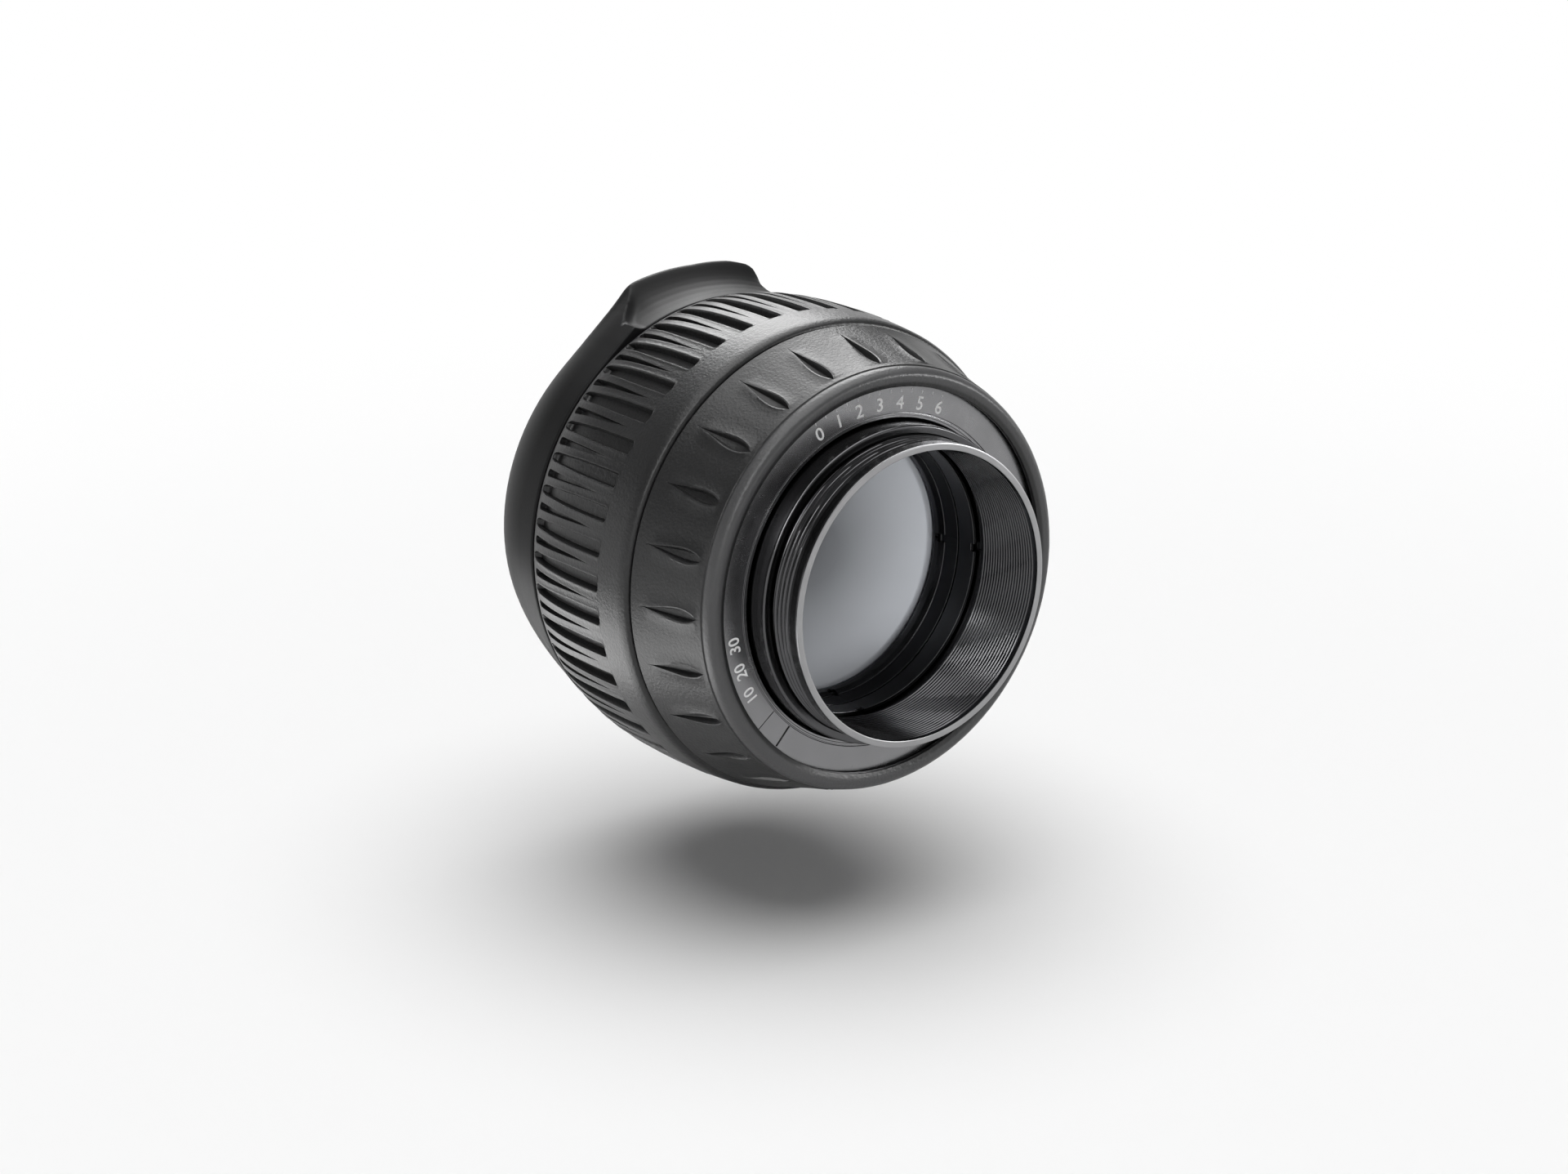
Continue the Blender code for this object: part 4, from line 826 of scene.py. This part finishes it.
def cap_points():
    """Cap: a straight wall, a round shoulder and a domed back. The tab lifts the wall at the top by a height
    that fades round its flanks, along a side view that differs inside the scoop and beside it. Low on both
    sides the wall is a little flatter, by depth * exp(-((angle - middle) / spread)^2)."""
    s = sizes()
    half = np.concatenate([np.linspace(0.0, 15.0, 12), np.linspace(16.0, 26.0, 34),
                           np.linspace(27.0, 40.0, 14), np.linspace(43.0, 177.0, 46)])
    angle = np.radians(np.concatenate([half, [180.0], 360.0 - half[:0:-1]]))[None]
    off = np.degrees(np.minimum(angle, TURN - angle))
    place_share = [0.0, 0.02, 0.1, 0.18, 0.26, 0.33, 0.38, 0.42, 0.455, 0.48, 0.505, 0.53, 0.56, 0.60, 0.70,
                   0.82, 0.92, 1.0]
    falling = [1.0, 1.0, 0.955, 0.85, 0.55, 0.22, 0.03, 0.0]
    in_scoop = [0.0, 0.0, 0.02, 0.06, 0.15, 0.30, 0.46, 0.64, 0.83, 0.95, *falling]
    beside = [0.82, 0.82, 0.82, 0.82, 0.82, 0.83, 0.84, 0.87, 0.91, 0.96, *falling]
    run_share = np.concatenate([np.linspace(0.02, 0.62, 64), np.linspace(0.63, 1.0, 22)])
    kernel = np.array([1, 4, 6, 4, 1]) / 16

    def side(values):
        """The side view at every row, smoothed by the kernel."""
        fine = np.interp(run_share, place_share, values)
        padded = np.concatenate([fine[:1].repeat(2), fine, fine[-1:].repeat(2)])
        return np.convolve(padded, kernel, "valid")[:, None]

    z = (CAP_Z + run_share * CAP_REACH)[:, None]
    rise = np.maximum(0.0, z - CAP_SHOULDER_Z)
    plain = CAP_RADIUS - CAP_ROUND + np.sqrt(CAP_ROUND ** 2 - rise ** 2)
    edge = SCOOP_HALF - SCOOP_NARROWS * smooth((run_share[:, None] - 0.12) / 0.40)
    scooped = 1 - (1 - np.clip((edge - off) / SCOOP_WALL, 0.0, 1.0)) ** 2.4
    lift = s.tab_height * np.where(angle > pi, np.interp(off, TAB_ANGLES, TAB_RIGHT_LIFTS),
                                   np.interp(off, TAB_ANGLES, TAB_LIFTS))
    flat = FLAT_DEPTH * np.exp(-((off - FLAT_ANGLE) / FLAT_SPREAD) ** 2) * smooth((z - CAP_Z) / 5.0)
    radius = plain - flat + lift * (scooped * side(in_scoop) + (1 - scooped) * side(beside))
    back_radius = CAP_RADIUS - CAP_ROUND + CAP_ROUND * cos(radians(CAP_ARC_END))
    shares = np.array([0.97, 0.9, 0.75, 0.5, 0.25, 0.05])[:, None]
    dome_z = CAP_END_Z - CAP_DOME * shares ** 2 * 0.9
    outer = np.concatenate([place(radius, angle, z), place(back_radius * shares, angle, dome_z)])
    inner_round = CAP_ROUND - CAP_WALL
    sweep = np.radians(np.linspace(0.0, CAP_ARC_END, 10))[:, None]
    inside = np.concatenate([
        np.array([[CAP_RADIUS - 0.04, CAP_Z + 0.12], [CAP_RADIUS - 0.14, CAP_Z + 0.03],
                  [CAP_RADIUS - 0.3, CAP_Z], [CAP_BORE + 0.35, CAP_Z], [CAP_BORE + 0.1, CAP_Z + 0.1],
                  [CAP_BORE, CAP_Z + 0.35]]),
        np.hstack([CAP_RADIUS - CAP_ROUND + inner_round * np.cos(sweep),
                   CAP_SHOULDER_Z + inner_round * np.sin(sweep)]),
        np.array([[r, CAP_END_Z - CAP_WALL] for r in (18.0, 10.0, 3.0, 0.6)]),
    ])
    lip = (np.arange(len(inside)) < 3).astype(float)[:, None]
    flank = lift * (1 - scooped[:1]) * 0.82
    inner = place(inside[:, :1] + lip * flank, angle, inside[:, 1:])
    return np.concatenate([inner[::-1], outer])


# Marks on the plate
def bar(angle_degrees, inner, outer, half_width):
    """A narrow bar on the plate, as the eight corners of a box laid along a radius."""
    across = np.array([-1, 1, 1, -1, -1, 1, 1, -1]) * half_width
    out = np.array([inner, inner, outer, outer] * 2)
    z = np.array([PLATE_Z + 0.05] * 4 + [PLATE_Z - 0.02] * 4)
    angle = radians(angle_degrees)
    x = -out * sin(angle) - across * cos(angle)
    height = out * cos(angle) - across * sin(angle)
    return np.stack([x, z, height], axis=-1) * MM


BOX_FACES = np.array([[0, 1, 2, 3], [4, 7, 6, 5], [0, 4, 5, 1], [1, 5, 6, 2], [2, 6, 7, 3], [3, 7, 4, 0]])


def bars_mesh(inner, outer, rows):
    """Bars from an inner to an outer radius in one mesh, from rows of angle and half width."""
    bars = [bar(angle, inner, outer, half) for angle, half in rows]
    return fill_mesh(np.concatenate(bars), np.concatenate([BOX_FACES + 8 * i for i in range(len(bars))]))


def number_mesh(text, angle_degrees, radius, size):
    """A plain number laid on the plate, its foot towards the axis."""
    letters = bpy.data.curves.new("number", "FONT")
    letters.body = text
    letters.size = size * MM
    letters.align_x = "CENTER"
    letters.align_y = "CENTER"
    letters.extrude = 0.02 * MM
    letters.offset = 0.03 * MM
    letters.resolution_u = 4
    carrier = bpy.data.objects.new("number_curve", letters)
    bpy.context.scene.collection.objects.link(carrier)
    mesh = bpy.data.meshes.new_from_object(carrier.evaluated_get(bpy.context.evaluated_depsgraph_get()))
    bpy.data.objects.remove(carrier)
    bpy.data.curves.remove(letters)
    turn = Matrix.Rotation(-radians(angle_degrees), 4, "Y")
    stand = Matrix.Rotation(pi / 2, 4, "X")
    mesh.transform(turn @ Matrix.Translation((0.0, PLATE_Z * MM, radius * MM)) @ stand)
    return mesh


# Operators
class LENS_OT_tube(bpy.types.Operator):
    """Threaded tube with its glare grooves, and the two spanner rings in its bore"""
    bl_idname = "lens.tube"
    bl_label = "Tube and its rings"

    def execute(self, context):
        tube = add("threaded_tube", skin(tube_points()), "anodised_metal", "housing", ["mount_tube"])
        tube.data.materials.append(finish("bare_metal"))
        centres = np.zeros(len(tube.data.polygons) * 3)
        tube.data.polygons.foreach_get("center", centres)
        on_rim = centres.reshape(-1, 3)[:, 1] < (RIM_Z + 0.06) * MM
        tube.data.polygons.foreach_set("material_index", on_rim.astype(np.int32))
        add("spanner_ring", skin(baffle_points()), "anodised_metal", "housing", ["baffle_ring"])
        add("rear_stop_ring", skin(rear_ring_points()), "anodised_metal", "housing", ["rear_retaining_ring"])
        return {"FINISHED"}


class LENS_OT_plate(bpy.types.Operator):
    """Satin seat plate with its lines and plain numbers"""
    bl_idname = "lens.plate"
    bl_label = "Seat plate"

    def execute(self, context):
        add("turned_plate", skin(lathe(plate_rows(), 192)), "satin_metal", "housing", ["seat_plate"])
        lines = bars_mesh(INDEX_INNER, INDEX_OUTER, INDEX_LINES)
        add("index_lines", lines, "satin_metal", "housing", look="cut_line")
        ticks = bars_mesh(TICK_INNER, TICK_OUTER, TICKS)
        add("scale_ticks", ticks, "satin_metal", "housing", look="mark_paint")
        for text, angle, radius, size in NUMBERS:
            number = number_mesh(text, angle, radius, size)
            add("plate_number_" + text, number, "satin_metal", "housing", look="mark_paint")
        return {"FINISHED"}


class LENS_OT_glass(bpy.types.Operator):
    """Rear and front elements"""
    bl_idname = "lens.glass"
    bl_label = "Elements"

    def execute(self, context):
        rear = lens_rows(REAR_LENS_RADIUS, REAR_CLEAR_RADIUS, REAR_LENS_Z, REAR_EDGE, REAR_CURVES)
        front = lens_rows(FRONT_LENS_RADIUS, FRONT_CLEAR_RADIUS, FRONT_LENS_Z, FRONT_EDGE, FRONT_CURVES)
        for end, rows, body in (("rear", rear, "housing"), ("front", front, "focus_cell")):
            mesh = skin(lathe(rows, 128), poles=True)
            add(end + "_element", mesh, "coated_glass", body, [end + "_lens"])
        return {"FINISHED"}


class LENS_OT_front(bpy.types.Operator):
    """Front retaining ring and bezel, seen when the cap is off"""
    bl_idname = "lens.front"
    bl_label = "Front rings"

    def execute(self, context):
        inner, outer = FRONT_CLEAR_RADIUS, FRONT_LENS_RADIUS
        ring = outline([
            (inner, FRONT_RING_Z, 0.06), (outer, FRONT_RING_Z, 0.06), (outer, FRONT_RING_END_Z, 0.12),
            (inner + 0.5, FRONT_RING_END_Z, 0.1), (inner, FRONT_RING_END_Z - 0.7, 0.12),
        ])
        add("front_stop_ring", skin(lathe(ring)), "anodised_metal", "focus_cell", ["front_retaining_ring"])
        bezel = outline([
            (BEZEL_BORE, BEZEL_Z, 0.06), (BEZEL_RADIUS, BEZEL_Z, 0.08),
            (BEZEL_RADIUS, BEZEL_END_Z - 0.5, 0.1),
            (BEZEL_RADIUS - 0.5, BEZEL_END_Z, 0.1), (BARREL_BORE, BEZEL_END_Z, 0.1),
            (BARREL_BORE, BEZEL_END_Z - 0.7, 0.06), (BEZEL_BORE, BEZEL_END_Z - 0.7, 0.06),
        ])
        add("bezel", skin(lathe(bezel)), "anodised_metal", "housing", ["front_bezel"])
        return {"FINISHED"}


class LENS_OT_sleeve(bpy.types.Operator):
    """Rubber sleeve with its dimples"""
    bl_idname = "lens.sleeve"
    bl_label = "Sleeve"

    def execute(self, context):
        add("rubber_sleeve", skin(sleeve_points(), sharp=28.0), "rubber", "housing", ["grip_sleeve"])
        return {"FINISHED"}


class LENS_OT_grip(bpy.types.Operator):
    """Ribbed rubber on the focus ring"""
    bl_idname = "lens.grip"
    bl_label = "Focus grip"

    def execute(self, context):
        add("ribbed_grip", skin(grip_points(), sharp=40.0), "rubber", "focus_ring", ["focus_grip"])
        return {"FINISHED"}


class LENS_OT_cap(bpy.types.Operator):
    """Rubber cap with its pull tab"""
    bl_idname = "lens.cap"
    bl_label = "Cap"

    def execute(self, context):
        add("rubber_cap", skin(cap_points(), poles=True, sharp=50.0), "cap_rubber", "cap",
            ["protective_cap"])
        return {"FINISHED"}


class LENS_OT_finishes(bpy.types.Operator):
    """Finishes of the parts that keep their solids"""
    bl_idname = "lens.finishes"
    bl_label = "Finishes"

    def execute(self, context):
        slots = {row["node"]: row["material_slot"] for row in frame["record"]["subparts"]}
        for name, node in frame["nodes"].items():
            node.data.materials.clear()
            node.data.materials.append(finish(slots[name]))
        return {"FINISHED"}


def lamp(name, location, size, power, target=(0.0, 0.02, 0.0), tall=None):
    """A soft rectangular lamp that faces a point."""
    data = bpy.data.lights.new(name, "AREA")
    data.shape = "RECTANGLE"
    data.size = size
    data.size_y = tall or size
    data.energy = power
    item = bpy.data.objects.new(name, data)
    item.location = location
    item.rotation_euler = (Vector(target) - Vector(location)).to_track_quat("-Z", "Y").to_euler()
    item.visible_camera = False
    item.visible_diffuse = False
    bpy.context.scene.collection.objects.link(item)


class LENS_OT_stage(bpy.types.Operator):
    """Floor, world, lamps and camera"""
    bl_idname = "lens.stage"
    bl_label = "Stage"

    def execute(self, context):
        scene = context.scene
        s = scene.lens_stage
        self.floor(scene, s)
        self.world(scene, s)
        for name, energy, angle, source in (
                ("top", s.top, 70.0, (0.05, 0.02, 1.0)), ("back", s.back, 34.0, (0.38, 0.66, 0.60))):
            light = bpy.data.lights.new(name, "SUN")
            light.energy = energy
            light.angle = radians(angle)
            item = bpy.data.objects.new(name, light)
            item.rotation_euler = Vector(source).to_track_quat("Z", "Y").to_euler()
            item.visible_diffuse = name == "top"
            scene.collection.objects.link(item)
        lamp("key", (-0.40, -0.38, 0.42), 0.10, s.key, tall=0.5)
        lamp("fill", (-0.050, 0.050, -0.042), 0.09, s.fill, target=(0.0, 0.03, 0.0), tall=0.05)
        lamp("side", (0.45, -0.37, 0.14), 0.10, s.side)
        self.camera(scene, s)
        scene.view_settings.view_transform = "Standard"
        return {"FINISHED"}

    def floor(self, scene, s):
        """A wide round floor that curves up into a low wall far out."""
        flat, rise, wall = 5.0, 1.0, 1.45
        bend = np.linspace(0.0, 1.0, 25)[:, None] * pi / 2
        rows = np.concatenate([
            [[0.0, 0.0], [1.0, 0.0]], np.hstack([flat + rise * np.sin(bend), rise * (1.0 - np.cos(bend))]),
            [[flat + rise, wall]]])
        turn = angles(96)[None]
        points = np.stack(np.broadcast_arrays(
            rows[:, :1] * np.cos(turn), rows[:, :1] * np.sin(turn), rows[:, 1:] - s.drop * MM), axis=-1)
        mesh = fill_mesh(points.reshape(-1, 3), grid_quads(*points.shape[:2], False))
        mesh.name = "floor"
        mesh.shade_smooth()
        mesh.materials.append(floor_finish(s.floor))
        item = bpy.data.objects.new("floor", mesh)
        scene.collection.objects.link(item)

    def world(self, scene, s):
        """A dim sky that is plain white where the camera sees it."""
        world = bpy.data.worlds.new("studio")
        world.use_nodes = True
        scene.world = world
        graph = Graph(world.node_tree)
        sockets = graph.tree.nodes["Background"].inputs
        graph.feed(sockets["Color"], (1.0, 1.0, 1.0, 1.0))
        seen = Value(graph, graph.node("ShaderNodeLightPath").outputs["Is Camera Ray"])
        graph.feed(sockets["Strength"], s.sky + (1.0 - s.sky) * seen)

    def camera(self, scene, s):
        """Camera at the fitted place, level across."""
        data = bpy.data.cameras.new("camera")
        data.lens = s.focal
        data.sensor_width = 36.0
        data.clip_start = 0.01
        item = bpy.data.objects.new("camera", data)
        right = Vector((0.808, -0.589, 0.0)).normalized()
        forward = Vector((0.561, 0.770, -0.304)).normalized()
        up = right.cross(forward).normalized()
        right = forward.cross(up)
        # From the middle of the tube's rim, in thread radii
        left, above, back = 0.888, 0.065, 16.87
        rim = Vector((0.0, RIM_Z * MM, 0.0))
        item.location = rim - THREAD_RADIUS * MM * (left * right - above * up + back * forward)
        item.rotation_euler = Matrix((right, up, -forward)).transposed().to_euler()
        scene.collection.objects.link(item)
        scene.camera = item


class LENS_PT_panel(bpy.types.Panel):
    """Settings and steps of the lens"""
    bl_idname = "LENS_PT_panel"
    bl_label = "Thermal imaging lens"
    bl_space_type = "VIEW_3D"
    bl_region_type = "UI"
    bl_category = "Lens"

    def draw(self, context):
        for group in (context.scene.lens_sizes, context.scene.lens_colours, context.scene.lens_stage):
            box = self.layout.box()
            for name in group.__annotations__:
                box.prop(group, name)
        for step in STEPS:
            self.layout.operator(step.bl_idname)


GROUPS = {"lens_sizes": LensSizes, "lens_colours": LensColours, "lens_stage": LensStage}
STEPS = (LENS_OT_finishes, LENS_OT_tube, LENS_OT_plate, LENS_OT_glass, LENS_OT_front, LENS_OT_sleeve,
         LENS_OT_grip, LENS_OT_cap, LENS_OT_stage)
CLASSES = (*GROUPS.values(), *STEPS, LENS_PT_panel)


def register():
    """Adds the classes and the scene's settings."""
    for cls in CLASSES:
        bpy.utils.register_class(cls)
    for name, group in GROUPS.items():
        setattr(bpy.types.Scene, name, bpy.props.PointerProperty(type=group))


def unregister():
    """Takes them away again."""
    for name in GROUPS:
        delattr(bpy.types.Scene, name)
    for cls in reversed(CLASSES):
        bpy.utils.unregister_class(cls)


def main():
    """Makes everything."""
    register()
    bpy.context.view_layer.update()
    for step in STEPS:
        group, name = step.bl_idname.split(".")
        getattr(getattr(bpy.ops, group), name)()


if __name__ == "__main__":
    main()
